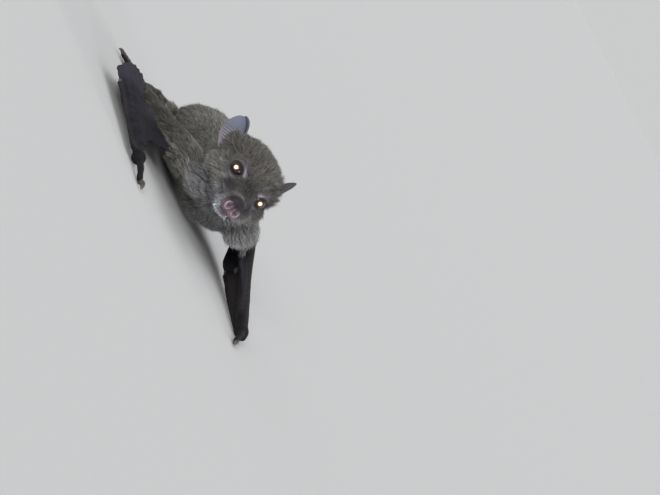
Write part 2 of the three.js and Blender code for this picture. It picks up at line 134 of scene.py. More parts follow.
class Wire:
    """A socket of a material's nodes.  Arithmetic on it adds the Math nodes."""

    def __init__(self, tree, socket=None):
        self.tree = tree
        self.socket = socket

    def node(self, kind, settings, inputs, output=0):
        made = self.tree.nodes.new("ShaderNode" + kind)
        for name, value in settings.items():
            if name == "stops":
                for place, colour in value:
                    stop = made.color_ramp.elements.new(place)
                    stop.color = (*colour, 1)
                made.color_ramp.elements.remove(made.color_ramp.elements[0])
                made.color_ramp.elements.remove(made.color_ramp.elements[-1])
            else:
                setattr(made, name, value)
        for key, value in inputs.items():
            if isinstance(value, Wire):
                self.tree.links.new(value.socket, made.inputs[key])
            elif isinstance(value, tuple) and made.inputs[key].type == "RGBA":
                made.inputs[key].default_value = (*value, 1)
            else:
                made.inputs[key].default_value = value
        return Wire(self.tree, made.outputs[output])

    def maths(self, operation, first, second, clamp=False):
        settings = {"operation": operation, "use_clamp": clamp}
        return self.node("Math", settings, {0: first, 1: second})

    def __add__(self, other):
        return self.maths("ADD", self, other)

    def __sub__(self, other):
        return self.maths("SUBTRACT", self, other)

    def __rsub__(self, other):
        return self.maths("SUBTRACT", other, self)

    def __mul__(self, other):
        return self.maths("MULTIPLY", self, other)

    __radd__ = __add__
    __rmul__ = __mul__

    def clamped(self):
        return self.maths("ADD", self, 0.0, clamp=True)

    def span(self, low, high):
        """0 below low, 1 above high, and even between."""
        return self.maths("DIVIDE", self - low, high - low, clamp=True)

    def mix(self, colour, other):
        """From one colour to another as this value goes from 0 to 1."""
        return self.node("Mix", {"data_type": "RGBA"}, {0: self, 6: colour, 7: other}, output=2)

    def times(self, other):
        """This colour multiplied by another."""
        settings = {"data_type": "RGBA", "blend_type": "MULTIPLY"}
        return self.node("Mix", settings, {0: 1.0, 6: self, 7: other}, output=2)


def material_of(name, paint, **constants):
    """A material whose surface is one Principled shader; paint gives what varies over it."""
    material = bpy.data.materials.new(name)
    material.use_nodes = True
    tree = material.node_tree
    tree.nodes.clear()
    start = Wire(tree)
    inputs = {**constants, **paint(start)}
    surface = start.node("BsdfPrincipled", {}, inputs)
    out = tree.nodes.new("ShaderNodeOutputMaterial")
    tree.links.new(surface.socket, out.inputs["Surface"])
    return material


def attribute(wire, name, output="Fac"):
    return wire.node("Attribute", {"attribute_name": name}, {}, output=output)


def own_place(wire):
    return wire.node("TexCoord", {}, {}, output="Object")


def noise(wire, scale, detail):
    """Noise over the object's own metres."""
    values = {"Vector": own_place(wire), "Scale": scale, "Detail": detail, "Roughness": 0.55}
    return wire.node("TexNoise", {}, values)


def bump(wire, height, distance, strength):
    values = {"Height": height, "Distance": distance, "Strength": strength}
    return wire.node("Bump", {}, values)


FLOOR_COLOUR = (0.596, 0.598, 0.604)
FLOOR_REACH = 120


def floor_paint(wire):
    grain = noise(wire, 260, detail=5)
    tone = grain.mix(FLOOR_COLOUR, tuple(0.965 * c for c in FLOOR_COLOUR))
    return {"Base Color": tone, "Normal": bump(wire, grain, 0.0002, 0.25)}


floor_mesh = bpy.data.meshes.new("studio_floor")
corners = [(-FLOOR_REACH, -FLOOR_REACH, 0), (FLOOR_REACH, -FLOOR_REACH, 0)]
corners += [(FLOOR_REACH, FLOOR_REACH, 0), (-FLOOR_REACH, FLOOR_REACH, 0)]
floor_mesh.from_pydata(corners, [], [(0, 1, 2, 3)])
floor = bpy.data.objects.new("studio_floor", floor_mesh)
floor_mesh.materials.append(material_of("studio_floor", floor_paint, Roughness=0.9))
bpy.context.scene.collection.objects.link(floor)
floor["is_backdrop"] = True


def soft_light(name, azimuth, height, spread, strength, colour=(1, 1, 1)):
    """A soft far light, from an azimuth and a height in degrees and as wide as its spread."""
    light = bpy.data.lights.new(name, "SUN")
    light.angle = math.radians(spread)
    light.energy = strength
    light.color = colour
    lamp = bpy.data.objects.new(name, light)
    lamp.rotation_mode = "QUATERNION"
    lamp.rotation_quaternion = Vector(way_to(azimuth, height)).to_track_quat("Z", "Y")
    bpy.context.scene.collection.objects.link(lamp)


soft_light("key", azimuth=-41, height=15, spread=16, strength=2.1, colour=(1, 0.99, 0.975))
soft_light("spark", azimuth=8, height=9, spread=9, strength=0.6)
soft_light("glint", azimuth=60, height=12, spread=9, strength=0.7)
soft_light("top", azimuth=165, height=62, spread=60, strength=0.5)

SURROUND_COLOUR = (0.70, 0.705, 0.71)
SURROUND_STRENGTH = 0.85
world = bpy.data.worlds.new("surround")
world.use_nodes = True
background = world.node_tree.nodes["Background"]
background.inputs["Color"].default_value = (*SURROUND_COLOUR, 1)
background.inputs["Strength"].default_value = SURROUND_STRENGTH
bpy.context.scene.world = world
bpy.context.scene.view_settings.view_transform = "Standard"


# ---------------------------------------------------------------- skin: the forms it is drawn over
# One skin covers the whole bat, from the nose to the claws.  It is modelled as flesh would be, as
# rounded forms for each muscle, bone and web that run into each other, and then fused and
# smoothed.  Under the coat it lies in by the hair's depth; the limbs and wings are bare.
UP = np.array([0.0, 0, 1])


def unit(vectors):
    return vectors / np.maximum(np.linalg.norm(vectors, axis=-1, keepdims=True), 1e-9)


def smooth_step(values, low, high):
    t = np.clip((values - low) / (high - low), 0, 1)
    return t * t * (3 - 2 * t)


def bell(values, middle, spread):
    return np.exp(-(((values - middle) / spread) ** 2))


def spline(points, t, bend=0.25):
    """A smooth curve through points, from 0 to 1.  With bend 0 the points count as evenly spaced."""
    points = np.asarray(points, float)
    last = len(points) - 1
    t = np.atleast_1d(t)
    place = np.clip(t, 0, 1) * last
    first = np.minimum(place.astype(int), last - 1)
    u = (place - first)[:, None]
    ends = np.vstack([2 * points[0] - points[1], points, 2 * points[-1] - points[-2]])
    p0, p1, p2, p3 = (ends[first + k] for k in range(4))
    d0, d1, d2 = (
        np.maximum(((b - a) ** 2).sum(1), 1e-8)[:, None] ** bend
        for a, b in ((p0, p1), (p1, p2), (p2, p3))
    )
    leave = ((p1 - p0) / d0 - (p2 - p0) / (d0 + d1) + (p2 - p1) / d1) * d1
    reach = ((p2 - p1) / d1 - (p3 - p1) / (d1 + d2) + (p3 - p2) / d2) * d1
    square = 3 * (p2 - p1) - 2 * leave - reach
    cube = 2 * (p1 - p2) + leave + reach
    return p1 + leave * u + square * u**2 + cube * u**3


def ring_faces(count, sides):
    """Triangles between rings of points laid one after another."""
    here = np.arange(count - 1)[:, None] * sides + np.arange(sides)
    beside = np.arange(count - 1)[:, None] * sides + (np.arange(sides) + 1) % sides
    halves = [(here, beside, beside + sides), (here, beside + sides, here + sides)]
    return np.vstack([np.stack(half, -1).reshape(-1, 3) for half in halves])


def closed_rings(rings):
    """Points and triangles of a surface through rings, its ends closed by fans."""
    count, sides, _ = rings.shape
    points = np.vstack([rings.reshape(-1, 3), rings[0].mean(0), rings[-1].mean(0)])
    around = np.arange(sides)
    after = (around + 1) % sides
    middle = np.full(sides, count * sides)
    start = np.column_stack([after, around, middle])
    end = np.column_stack([around + (count - 1) * sides, after + (count - 1) * sides, middle + 1])
    return points, np.vstack([ring_faces(count, sides), start, end])


def closed_sheet(front, back):
    """Points and triangles of a thin sheet between two grids of points."""
    count, width, _ = front.shape
    rings = np.concatenate([front, back[:, ::-1]], axis=1)
    sides = 2 * width
    faces = [ring_faces(count, sides)]
    j = np.arange(width - 1)
    for first, turn in ((0, -1), ((count - 1) * sides, 1)):
        strip = np.column_stack([j, j + 1, sides - 2 - j, sides - 1 - j]) + first
        faces += [strip[:, [0, 1, 2]][:, ::turn], strip[:, [0, 2, 3]][:, ::turn]]
    return rings.reshape(-1, 3), np.vstack(faces)


TOLD = ("fur", "web", "digit", "lie_x", "lie_y", "lie_z")
flesh = []  # points, triangles, and what each point tells of the skin over it, as in TOLD


def add_flesh(surface, lie, fur=0.0, web=0.0, digit=0.0):
    """Adds a form.  lie is the way its hair runs, fur how furred, web and digit what it is."""
    points, faces = surface
    told = np.empty((len(points), len(TOLD)))
    for column, value in enumerate((fur, web, digit)):
        told[:, column] = value
    told[:, 3:] = lie
    flesh.append((points, faces, told))


def per_point(rings, values):
    """One value for each ring as one for each point of closed_rings."""
    values = np.asarray(values, float)
    many = np.repeat(values, rings.shape[1], axis=0)
    return np.concatenate([many, values[:1], values[-1:]])


def rings_round(path, across, over, wide, tall):
    """Rings of points round a path, so wide across it and so tall over it."""
    return path[:, None] + across[:, None] * wide[..., None] + over[:, None] * tall[..., None]


def loft(stations, rings, sides, blunt=0.16):
    """Rings through stations of (centre, half width, height over, depth under, coat's depth)."""
    t = (1 - np.cos(np.pi * (np.arange(rings + 1) + 0.35) / (rings + 0.7))) / 2
    centres = [station[0] for station in stations]
    girths = np.array([[g - station[4] for g in station[1:4]] for station in stations])
    to_end = np.minimum(1, np.minimum(t, 1 - t) / blunt)
    taper = np.sqrt(1 - (1 - to_end) ** 2)[:, None]
    girth = np.maximum(spline(girths, t, bend=0) * taper, 0.05)
    path = spline(centres, t)
    along = unit(spline(centres, t + 0.002) - spline(centres, t - 0.002))
    across = unit(np.cross(along, UP))
    over = unit(np.cross(across, along))
    a = 2 * np.pi * np.arange(sides) / sides
    tall = np.where(np.sin(a) > 0, girth[:, 1:2], girth[:, 2:3]) * np.sin(a)
    wide = girth[:, :1] * np.cos(a)
    return rings_round(path, across, over, wide, tall), along, t


def tube(stations, sides=18, steps=7):
    """Rings round a smooth limb through stations of (centre, radius), with rounded ends."""
    centres = np.array([s[0] for s in stations], float)
    radii = np.array([[s[1]] for s in stations], float)
    t = np.linspace(0, 1, steps * (len(stations) - 1) + 1)
    path = spline(centres, t)
    radius = np.maximum(spline(radii, t, bend=0)[:, 0], 0.1)
    along = unit(spline(centres, t + 0.004) - spline(centres, t - 0.004))
    cap = np.radians([75, 50, 25])
    path = np.vstack([
        path[0] - along[0] * (radius[0] * np.sin(cap))[:, None],
        path,
        path[-1] + along[-1] * (radius[-1] * np.sin(cap[::-1]))[:, None],
    ])
    radius = np.concatenate([radius[0] * np.cos(cap), radius, radius[-1] * np.cos(cap[::-1])])
    along = np.vstack([along[[0] * 3], along, along[[-1] * 3]])
    t = np.concatenate([[0] * 3, t, [1] * 3])
    across = np.cross(along[0], UP if abs(along[0][2]) < 0.9 else (1, 0, 0))
    a = 2 * np.pi * np.arange(sides) / sides
    rings = []
    for centre, way, r in zip(path, along, radius):
        across = unit(across - way * (across @ way))
        over = np.cross(across, way)
        rings.append(centre + r * (np.outer(np.cos(a), across) + np.outer(np.sin(a), over)))
    return np.array(rings), along, t


def blob(centre, radii, sides=28):
    """An egg-shaped muscle or pad in the head's frame."""
    a = np.radians(np.linspace(4, 176, sides // 2 + 3))
    b = 2 * np.pi * np.arange(sides) / sides
    ring = np.stack([
        np.sin(a)[:, None] * np.cos(b),
        np.cos(a)[:, None] * np.ones(sides),
        np.sin(a)[:, None] * np.sin(b),
    ], axis=-1) * radii
    return from_head(ring + centre)


# ---------------------------------------------------------------- skin: the head's forms
# A short dog-like head.  Skull, lower jaw and nose are lofted from snout to nape in the head's
# frame, and rounded pads for eyes, brows, lips, nostrils and cheeks are laid on them.  A station
# is a centre, a half width, the height over it, the depth under it and the depth of the coat.
SKULL = [
    ((0, -15.2, -5.2), 3.9, 2.9, 2.4, 0.35),
    ((0, -12, -4.8), 5.0, 3.9, 3.4, 0.55),
    ((0, -8, -4.0), 5.9, 5.2, 5.2, 0.8),
    ((0, -4, -2.8), 7.2, 6.8, 8.0, 1.2),
    ((0, 0, -1.6), 9.6, 8.6, 10.6, 1.8),
    ((0, 4.5, -0.8), 13.2, 10.9, 12.4, 2.5),
    ((0, 10, -0.4), 16.3, 12.6, 13.4, 3.0),
    ((0, 16, -0.4), 16.8, 12.6, 13.4, 3.2),
    ((0, 22, -1.2), 14.2, 10.6, 12, 3.2),
    ((0, 27.5, -2.4), 8.6, 6.6, 7.6, 3.0),
]
JAW = [
    ((0, -14.3, -10.2), 2.7, 1.7, 1.8, 0.2),
    ((0, -10, -10.4), 4.0, 2.2, 2.0, 0.3),
    ((0, -5, -11), 5.6, 3.0, 2.4, 0.6),
    ((0, 1, -12.2), 6.6, 3.6, 2.6, 0.9),
    ((0, 7, -12.4), 4.8, 3.2, 2.4, 0.9),
]
NOSE = [
    ((0, -17.8, -5.2), 2.8, 2.8, 2.6, 0.1),
    ((0, -16.3, -5.0), 4.0, 4.2, 3.5, 0.1),
    ((0, -13.0, -4.6), 4.4, 4.4, 3.5, 0.1),
]
EYE_AT = np.array([7.1, -0.2, 0.4])  # left
EYE_RADIUS = 3.7
LID_DEPTH = 0.75
BROW_AT = (0.2, 3.2, -0.3)  # from the eye
BROW_RADII = (4.4, 5.2, 4.7)
FACE_PADS = {  # of the left side, in the head's frame: centre, radii and how furred
    "upper_lip": ((2.9, -12.2, -7.0), (2.1, 3.8, 2.3), 0.8),
    "nostril": ((2.15, -16.3, -5.8), (1.8, 2.1, 2.2), 0.0),
    "under_nostril": ((1.1, -15.6, -8.0), (1.7, 1.7, 1.6), 0.0),
    "cheek": ((6.6, -1.5, -6.6), (4.0, 6.6, 3.6), 1.0),
    "jaw_muscle": ((10.2, 5.0, -5.5), (4.2, 6.5, 4.8), 1.0),
}
HAIR_PART = (0, -19, -5.5)  # the coat of the head runs away from this point on the snout
SIDES = {"left": 1, "right": -1}


def mirrored(point, side):
    return np.array([point[0] * side, point[1], point[2]], float)


def head_lie(points):
    """The way the hair runs on the head: back from the snout, and down a little at the cheeks."""
    away = unit(to_head(points) - HAIR_PART)
    away[:, 2] -= 0.25
    return unit(away) @ HEAD_AXES.T


def add_head_form(rings, fur):
    surface = closed_rings(rings)
    add_flesh(surface, head_lie(surface[0]), fur=fur)


skull, _, _ = loft(SKULL, rings=76, sides=60, blunt=0.07)
add_head_form(from_head(skull), fur=1.0)
jaw, _, jaw_t = loft(JAW, rings=36, sides=32, blunt=0.14)
add_head_form(from_head(jaw), fur=per_point(jaw, smooth_step(jaw_t, -0.05, 0.25)))
nose, _, _ = loft(NOSE, rings=24, sides=36, blunt=0.3)
add_head_form(from_head(nose), fur=0.0)
for side in SIDES.values():
    around_eye = mirrored(EYE_AT, side)
    add_head_form(blob(around_eye, np.full(3, EYE_RADIUS + LID_DEPTH)), fur=0.35)
    add_head_form(blob(around_eye + mirrored(BROW_AT, side), BROW_RADII), fur=1.0)
    for centre, radii, furred in FACE_PADS.values():
        add_head_form(blob(mirrored(centre, side), radii), fur=furred)

# ---------------------------------------------------------------- skin: neck, trunk and tail
# One barrel of flesh from the nape over the broad chest to the narrow rump, in the bat's frame,
# and a short stubby tail that is furred only at its root.
TRUNK = [
    ((-7.5, -18, 25), 14.4, 12.2, 13, 3.2),
    ((-4.2, -10, 22.5), 18.3, 14.6, 16, 3.6),
    ((-1.4, -2, 20), 20.2, 16, 18.9, 3.8),
    ((0, 7, 18.6), 20, 16.6, 19, 3.8),
    ((0, 18, 18.2), 20.2, 17.2, 18.7, 3.8),
    ((0, 30, 17.6), 20.4, 17, 18, 3.8),
    ((0, 42, 16), 19.4, 16, 16.4, 3.6),
    ((0, 53, 13.4), 15.2, 13.2, 13.6, 3.2),
    ((0, 62, 11), 9.6, 9, 9.6, 2.4),
    ((0, 68, 9.8), 4.4, 4.4, 4.4, 1.4),
]
TAIL = [((0, 65, 9.4), 2.1), ((0, 71, 10), 1.7), ((0, 77, 11.6), 1.2), ((0, 81, 13.2), 0.8)]

trunk, trunk_way, _ = loft(TRUNK, rings=90, sides=72, blunt=0.05)
trunk_lie = unit(trunk_way + (0, 0, -0.22))
add_flesh(closed_rings(trunk), per_point(trunk, trunk_lie), fur=1.0)
tail, tail_way, tail_t = tube(TAIL)
tail_fur = per_point(tail, 0.9 - 0.9 * tail_t)
add_flesh(closed_rings(tail), per_point(tail, tail_way), fur=tail_fur, digit=0.6)

# ---------------------------------------------------------------- skin: the wings
# Each wing is folded: the upper arm runs back, the forearm forwards, and the long fingers back
# along it with the web pleated between them.  The left wing stands on edge with its elbow raised
# and the right one lies low and flat.  Arms are furred flesh, fingers and webs bare skin.
WINGS = {
    "left": {
        "side": 1,
        "shoulder": (15.5, -9, 18.6),
        "elbow": (33.8, 28.6, 17.8),
        "wrist": (37, -45.1, 3),
        "fan": (0.3, 0, -0.95),
        "thumb": (-0.35, -0.94, 0),
    },
    "right": {
        "side": -1,
        "shoulder": (-15.5, -8, 15),
        "elbow": (-45, 30, 6.5),
        "wrist": (-50, -45.5, 3),
        "fan": (-1, 0, -0.05),
        "thumb": (0.05, -1, 0),
    },
}
FINGERS = {"little": (47, 25), "ring": (48, 30), "middle": (50, 38)}  # palm bone, folded joint
FINGER_RADIUS = 0.85
FOLD_DEPTH = 1.9  # how far the folded joint lies behind its palm bone
INDEX_LENGTH = 49
THUMB_LENGTH = 15
INDEX = 3  # the index finger lies outermost in the fold, after the three others
HAND_WEB = (5, 75)  # how far back from the wrist the hand's web begins and ends
HAND_WEB_WIDEST = 60
HAND_WEB_NARROWS = 0.35  # by this share from there to its end
WEB_THICKNESS = 0.95
LEG = {"hip": (9, 51, 10), "knee": (25.5, 47, 8.5), "ankle": (23.5, 71.5, 3.4), "toe": (0.4, 0.92, 0)}
COAT_ON_ARM = 2.4


def towards(start, end, t):
    return np.asarray(start, float) + (np.asarray(end, float) - start) * t


def across_of(way, along):
    """The part of a direction that is square to another, as a unit."""
    way = np.asarray(way, float)
    return unit(way - along * (way @ along))


def along_edge(edge, out):
    """Places on a web's curved edge, for a grid of parameters along it."""
    return spline(edge, out.ravel()).reshape(*out.shape[:2], 3)


def lie_grid(point, along, across):
    """A grid of a sheet's points, for parameters from 0 to 1 both ways."""
    t, w = np.meshgrid(np.linspace(0, 1, along + 1), np.linspace(0, 1, across + 1), indexing="ij")
    return point(t[..., None], w[..., None]), t, w


def add_web(point, along, across, furred=0.3):
    """A membrane over point(along, across), thinly furred near the body, where across is 0."""
    grid, t, w = lie_grid(point, along, across)
    lengthways, crossways = np.gradient(grid, axis=0), np.gradient(grid, axis=1)
    normal = unit(np.cross(lengthways, crossways)) * WEB_THICKNESS / 2
    surface = closed_sheet(grid + normal, grid - normal)
    lie = unit(crossways + 0.7 * lengthways)
    fur = 0.8 * (1 - smooth_step(w, 0.05, furred)) if furred else 0 * w
    add_flesh(
        surface,
        np.concatenate([lie, lie[:, ::-1]], axis=1).reshape(-1, 3),
        fur=np.concatenate([fur, fur[:, ::-1]], axis=1).ravel(),
        web=1.0,
    )


def add_limb(stations, fur=0.0, digit=1.0, **how):
    rings, way, t = tube(stations, **how)
    furred = fur(per_point(rings, t)) if callable(fur) else fur
    add_flesh(closed_rings(rings), per_point(rings, way), fur=furred, digit=digit)


def in_hand(wing, back, fan, depth):
    """A place in the folded hand: how far back from the wrist, across the fold and behind it."""
    return wing["wrist"] - wing["reach"] * back + wing["fold"] * fan + wing["inward"] * depth


def fan_of(k, back):
    """How far across the fold the k-th finger lies, so far back from the wrist."""
    return (1.5 + 0.75 * k) + (3.5 + 1.55 * k) * back / INDEX_LENGTH


def on_finger(wing, k, back, depth=0.0):
    return in_hand(wing, back, fan_of(k, back), depth)


for wing in WINGS.values():
    side, shoulder, elbow, wrist = (wing[k] for k in ("side", "shoulder", "elbow", "wrist"))
    wing["reach"] = unit(np.subtract(wrist, elbow))
    wing["fold"] = across_of(wing["fan"], wing["reach"])
    wing["inward"] = -side * np.cross(wing["fold"], wing["reach"])
    wing["thumb_way"] = unit(np.array(wing["thumb"], float))
    arm = [
        (np.add(shoulder, (0, -6, 0)), 7, 6.6, 7.6, COAT_ON_ARM),
        (towards(shoulder, elbow, 0.2), 9.2, 7.9, 8.7, COAT_ON_ARM),
        (towards(shoulder, elbow, 0.55), 6.6, 6, 6, 1.9),
        (towards(shoulder, elbow, 0.85), 4.4, 4.1, 4.1, 0.9),
        (towards(shoulder, elbow, 1.04), 3.2, 3.1, 3.1, 0.2),
    ]
    rings, way, t = loft(arm, rings=50, sides=36)
    lie = per_point(rings, unit(way + (0.95 * side, 0, -0.38)))
    add_flesh(closed_rings(rings), lie, fur=per_point(rings, 1 - 0.6 * smooth_step(t, 0.7, 1)))
    breast = [((-11 * side, -5, 2.5), 5.6), ((-3 * side, -4.8, 0.3), 5.8)]
    breast = [(np.add(shoulder, from_shoulder), radius) for from_shoulder, radius in breast]
    add_limb(breast, fur=1.0, digit=0.0)
    girths = ((0, 3.5), (0.15, 3.9), (0.45, 2.9), (0.75, 2.3), (0.97, 2.3))
    forearm = [(towards(elbow, wrist, u), radius) for u, radius in girths]
    add_limb(forearm, fur=lambda t: 0.5 * (1 - smooth_step(t, 0.08, 0.34)))
    knuckles = [(0, 0, 0, 2.9), (0.8, 0.8, 0.4, 2.0), (-0.8, 0.8, 1.2, 1.9), (1.2, -0.4, -0.8, 1.9)]
    for back, fan, deep, radius in knuckles:
        middle = in_hand(wing, back, fan, deep)
        half = wing["reach"] * 0.5
        add_limb([(middle - half, radius), (middle + half, radius)])

    thumb_way = wing["thumb_way"]
    thumb_root = np.asarray(wrist) + thumb_way * 2
    thumb_tip = thumb_root + thumb_way * THUMB_LENGTH + UP * (1.2 - thumb_root[2])
    wing["thumb_tip"] = thumb_tip
    add_limb([
        (thumb_root, 1.75),
        (towards(thumb_root, thumb_tip, 0.22) + UP * 0.35, 1.42),
        (towards(thumb_root, thumb_tip, 0.45) + UP * 0.5, 1.4),
        (towards(thumb_root, thumb_tip, 0.62) + UP * 0.35, 1.2),
        (towards(thumb_root, thumb_tip, 0.82), 1.32),
        (thumb_tip + thumb_way * 0.3, 1.12),
    ])

    for k, (palm, joint) in enumerate(FINGERS.values()):
        # The little finger's digit of 1.7 paints it pale, a painted highlight along its bone.
        add_limb(digit=1.7 if k == 0 else 1.0, steps=8, stations=[
            (on_finger(wing, k, 2), FINGER_RADIUS * 1.2),
            (on_finger(wing, k, palm * 0.5), FINGER_RADIUS * 0.85),
            (on_finger(wing, k, palm - 2.5), FINGER_RADIUS * 0.9),
            (on_finger(wing, k, palm), FINGER_RADIUS * 1.25),
            (on_finger(wing, k, palm + 0.6, FOLD_DEPTH / 2), FINGER_RADIUS * 1.15),
            (on_finger(wing, k, palm - 1.5, FOLD_DEPTH), FINGER_RADIUS),
            (on_finger(wing, k, palm - joint, FOLD_DEPTH), FINGER_RADIUS * 0.75),
        ])
    add_limb([
        (on_finger(wing, INDEX, 2), FINGER_RADIUS * 1.15),
        (on_finger(wing, INDEX, INDEX_LENGTH * 0.5), FINGER_RADIUS * 0.8),
        (on_finger(wing, INDEX, INDEX_LENGTH * 0.72), FINGER_RADIUS),
        (on_finger(wing, INDEX, INDEX_LENGTH * 0.86), FINGER_RADIUS * 0.8),
        (on_finger(wing, INDEX, INDEX_LENGTH), FINGER_RADIUS * 0.9),
    ], steps=8)

    def hand_web(t, w, wing=wing):
        """The pleated web of the folded hand, one pleat between each two fingers."""
        pleats = len(FINGERS) + 1
        back = HAND_WEB[0] + (HAND_WEB[1] - HAND_WEB[0]) * t
        narrowing = 1 - HAND_WEB_NARROWS * smooth_step(back, HAND_WEB_WIDEST, HAND_WEB[1])
        fan = fan_of(INDEX, np.minimum(back, HAND_WEB_WIDEST)) * w * narrowing
        pleat = 0.5 - 0.5 * np.cos(2 * np.pi * pleats * w)
        deep = FOLD_DEPTH + 1.5 + 1.3 * t * pleat + 0.16 * np.sin(9 * t + 5 * w) * t
        return in_hand(wing, back, fan, deep * (1 - w**6))

    for k, (palm, _) in enumerate(FINGERS.values()):

        def between_bones(t, w, wing=wing, k=k, palm=palm):
            """The web folded in between a palm bone and the finger bent back on it."""
            return on_finger(wing, k, 3 + (palm - 3.5) * t, FOLD_DEPTH * w)

        add_web(between_bones, 60, 6, furred=None)

    def shoulder_web(t, w, wing=wing):
        """The web in front of the elbow, from shoulder to wrist, slack along its free edge."""
        front = np.add(wing["shoulder"], (4 * wing["side"], -4, 0))
        slack = np.sin(np.pi * w)
        out = 0.16 + t * (0.8 - 0.24 * slack)
        ripple = 0.7 * np.sin(7 * w + 3 * t) + 0.22 * np.sin(23 * w - 4 * t)
        on_arm = towards(wing["elbow"], front, out)
        on_forearm = towards(wing["elbow"], wing["wrist"], out)
        return on_arm + (on_forearm - on_arm) * w + UP * slack * (ripple - 2.2 * t)

    inner_edge = [mirrored(p, side) for p in ((14, 4, 8), (17.5, 20, 7.5), (15, 38, 7))]
    inner_edge.append(mirrored(LEG["ankle"], side) + UP)
    outer_edge = [towards(shoulder, elbow, 0.12), towards(shoulder, elbow, 0.55)]
    outer_edge += [np.add(elbow, (0, 1, -2.5)), np.add(elbow, (0, 7, -4))]

    def flank_web(t, w, inner_edge=inner_edge, outer_edge=outer_edge):
        """The web behind the elbow, from the flank and the shank to the arm, in loose folds."""
        slack = np.sin(np.pi * w)
        out = t * (1 - 0.14 * slack)
        pleat = 1.1 * np.sin(3.2 * np.pi * w + 2 * t) + 0.2 * np.sin(9.5 * np.pi * w - 5 * t)
        inner = along_edge(inner_edge, out)
        outer = along_edge(outer_edge, out)
        return inner + (outer - inner) * w + UP * slack * t * (pleat - 2.4)

    add_web(hand_web, 70, 64, furred=None)
    add_web(shoulder_web, 60, 48, furred=0.25)
    add_web(flank_web, 80, 60, furred=0.4)

# ---------------------------------------------------------------- skin: the hind legs
# The hind legs lie folded out to the sides, the soles of the feet flat behind the rump.  Each
# foot has five long toes, and a narrow web runs from the shank to the root of the tail.
TOES = (-2, -1, 0, 1, 2)
toe_tips = {"left": [], "right": []}
for name, side in SIDES.items():
    hip, knee, ankle, toe_way = (mirrored(LEG[k], side) for k in ("hip", "knee", "ankle", "toe"))
    toe_way = unit(toe_way)
    beside = np.cross(toe_way, UP)
    thigh = [(towards(hip, knee, u), r) for u, r in ((0, 5.0), (0.5, 3.9), (1, 2.9))]
    add_limb(thigh, fur=1.0, digit=0.0)
    shank = [(towards(knee, ankle, u), r) for u, r in ((0, 2.9), (0.3, 2.7), (0.65, 2.0), (0.97, 1.7))]
    add_limb(shank, fur=lambda t: 0.75 * (1 - smooth_step(t, 0.3, 1)), digit=0.5)
    sole = [
        (ankle - toe_way * 1.5 - UP * 0.6, 2.1, 2.1, 2.2, 0),
        (ankle + toe_way * 3 - UP * 1.4, 3.0, 1.9, 2.1, 0),
        (ankle + toe_way * 8 - UP * 1.9, 3.6, 1.4, 1.6, 0),
    ]
    rings, way, t = loft(sole, rings=24, sides=24)
    add_flesh(closed_rings(rings), per_point(rings, way), fur=0.12, digit=1.0)
    for place in TOES:
        root = ankle + toe_way * 6.5 + beside * 1.35 * place - UP * 2
        way = unit(toe_way + beside * 0.11 * place)
        toe_tips[name].append((root, way))
        add_limb([
            (root, 1.0),
            (root + way * 2.4 + UP * 0.45, 0.85),
            (root + way * 4.2 + UP * 0.5, 1.0),
            (root + way * 6.2 + UP * 0.3, 0.8),
            (root + way * 8 + UP * 0.15, 0.85),
        ], fur=0.1, steps=5)

    tail_inner = [mirrored(p, side) for p in ((5, 59, 7.6), (4, 64, 7.6), (3, 69.5, 7.8))]
    tail_outer = [towards(knee, ankle, u) for u in (0.12, 0.5, 0.94)]

    def tail_web(t, w, tail_inner=tail_inner, tail_outer=tail_outer):
        """The narrow web from the root of the tail to the shank, deeply cut out behind."""
        slack = np.sin(np.pi * w)
        out = t * (1 - 0.35 * slack)
        inner = along_edge(tail_inner, out)
        outer = along_edge(tail_outer, out)
        return inner + (outer - inner) * w - UP * 0.8 * slack

    add_web(tail_web, 30, 36, furred=0.5)


# ---------------------------------------------------------------- skin: the hide
# The forms are fused into one hide, smoothed hard under the coat and lightly where it is bare.
# Its mesh is made finer on the face, for the lids, nose and mouth that are modelled there next.
VOXEL = 0.45
SMOOTHING = {"told": 8, "lie": 25, "all": 4, "furred": 26, "web": 5}  # rounds
OVER_FLOOR = 0.02
SNOUT_AT = np.array([0, -12, -4])  # in the head's frame
FINER_FACE = {"from_snout": 21.0, "back": 4.0}
FINEST_EYE = {"from_eye": 5.6, "back": 1.5}
FINEST_NOSE = -14.2


def mesh_of(name, points, faces):
    """A mesh from arrays of points and triangles."""
    mesh = bpy.data.meshes.new(name)
    mesh.vertices.add(len(points))
    mesh.vertices.foreach_set("co", np.ascontiguousarray(points, np.float32).ravel())
    mesh.loops.add(faces.size)
    mesh.loops.foreach_set("vertex_index", np.ascontiguousarray(faces, np.int32).ravel())
    mesh.polygons.add(len(faces))
    mesh.polygons.foreach_set("loop_start", np.arange(0, faces.size, faces.shape[1], dtype=np.int32))
    mesh.update(calc_edges=True)
    return mesh


def shown(name, mesh):
    made = bpy.data.objects.new(name, mesh)
    bpy.context.scene.collection.objects.link(made)
    return made


def places_of(mesh):
    places = np.empty(len(mesh.vertices) * 3, np.float32)
    mesh.vertices.foreach_get("co", places)
    return places.reshape(-1, 3).astype(float)


def edges_of(mesh):
    edges = np.empty(len(mesh.edges) * 2, np.int32)
    mesh.edges.foreach_get("vertices", edges)
    return edges.reshape(-1, 2)


def triangles_of(mesh):
    mesh.calc_loop_triangles()
    corners = np.empty(len(mesh.loop_triangles) * 3, np.int32)
    mesh.loop_triangles.foreach_get("vertices", corners)
    return corners.reshape(-1, 3)


def relaxed(values, edges, weight, rounds):
    """Values at a mesh's points, each drawn to the mean of its neighbours again and again."""
    count = np.maximum(np.bincount(edges.ravel(), minlength=len(values)), 1)[:, None]
    for _ in range(rounds):
        total = np.empty_like(values)
        for k in range(values.shape[1]):
            total[:, k] = np.bincount(edges[:, 0], values[edges[:, 1], k], len(values))
            total[:, k] += np.bincount(edges[:, 1], values[edges[:, 0], k], len(values))
        values = values + weight * (total / count - values)
    return values


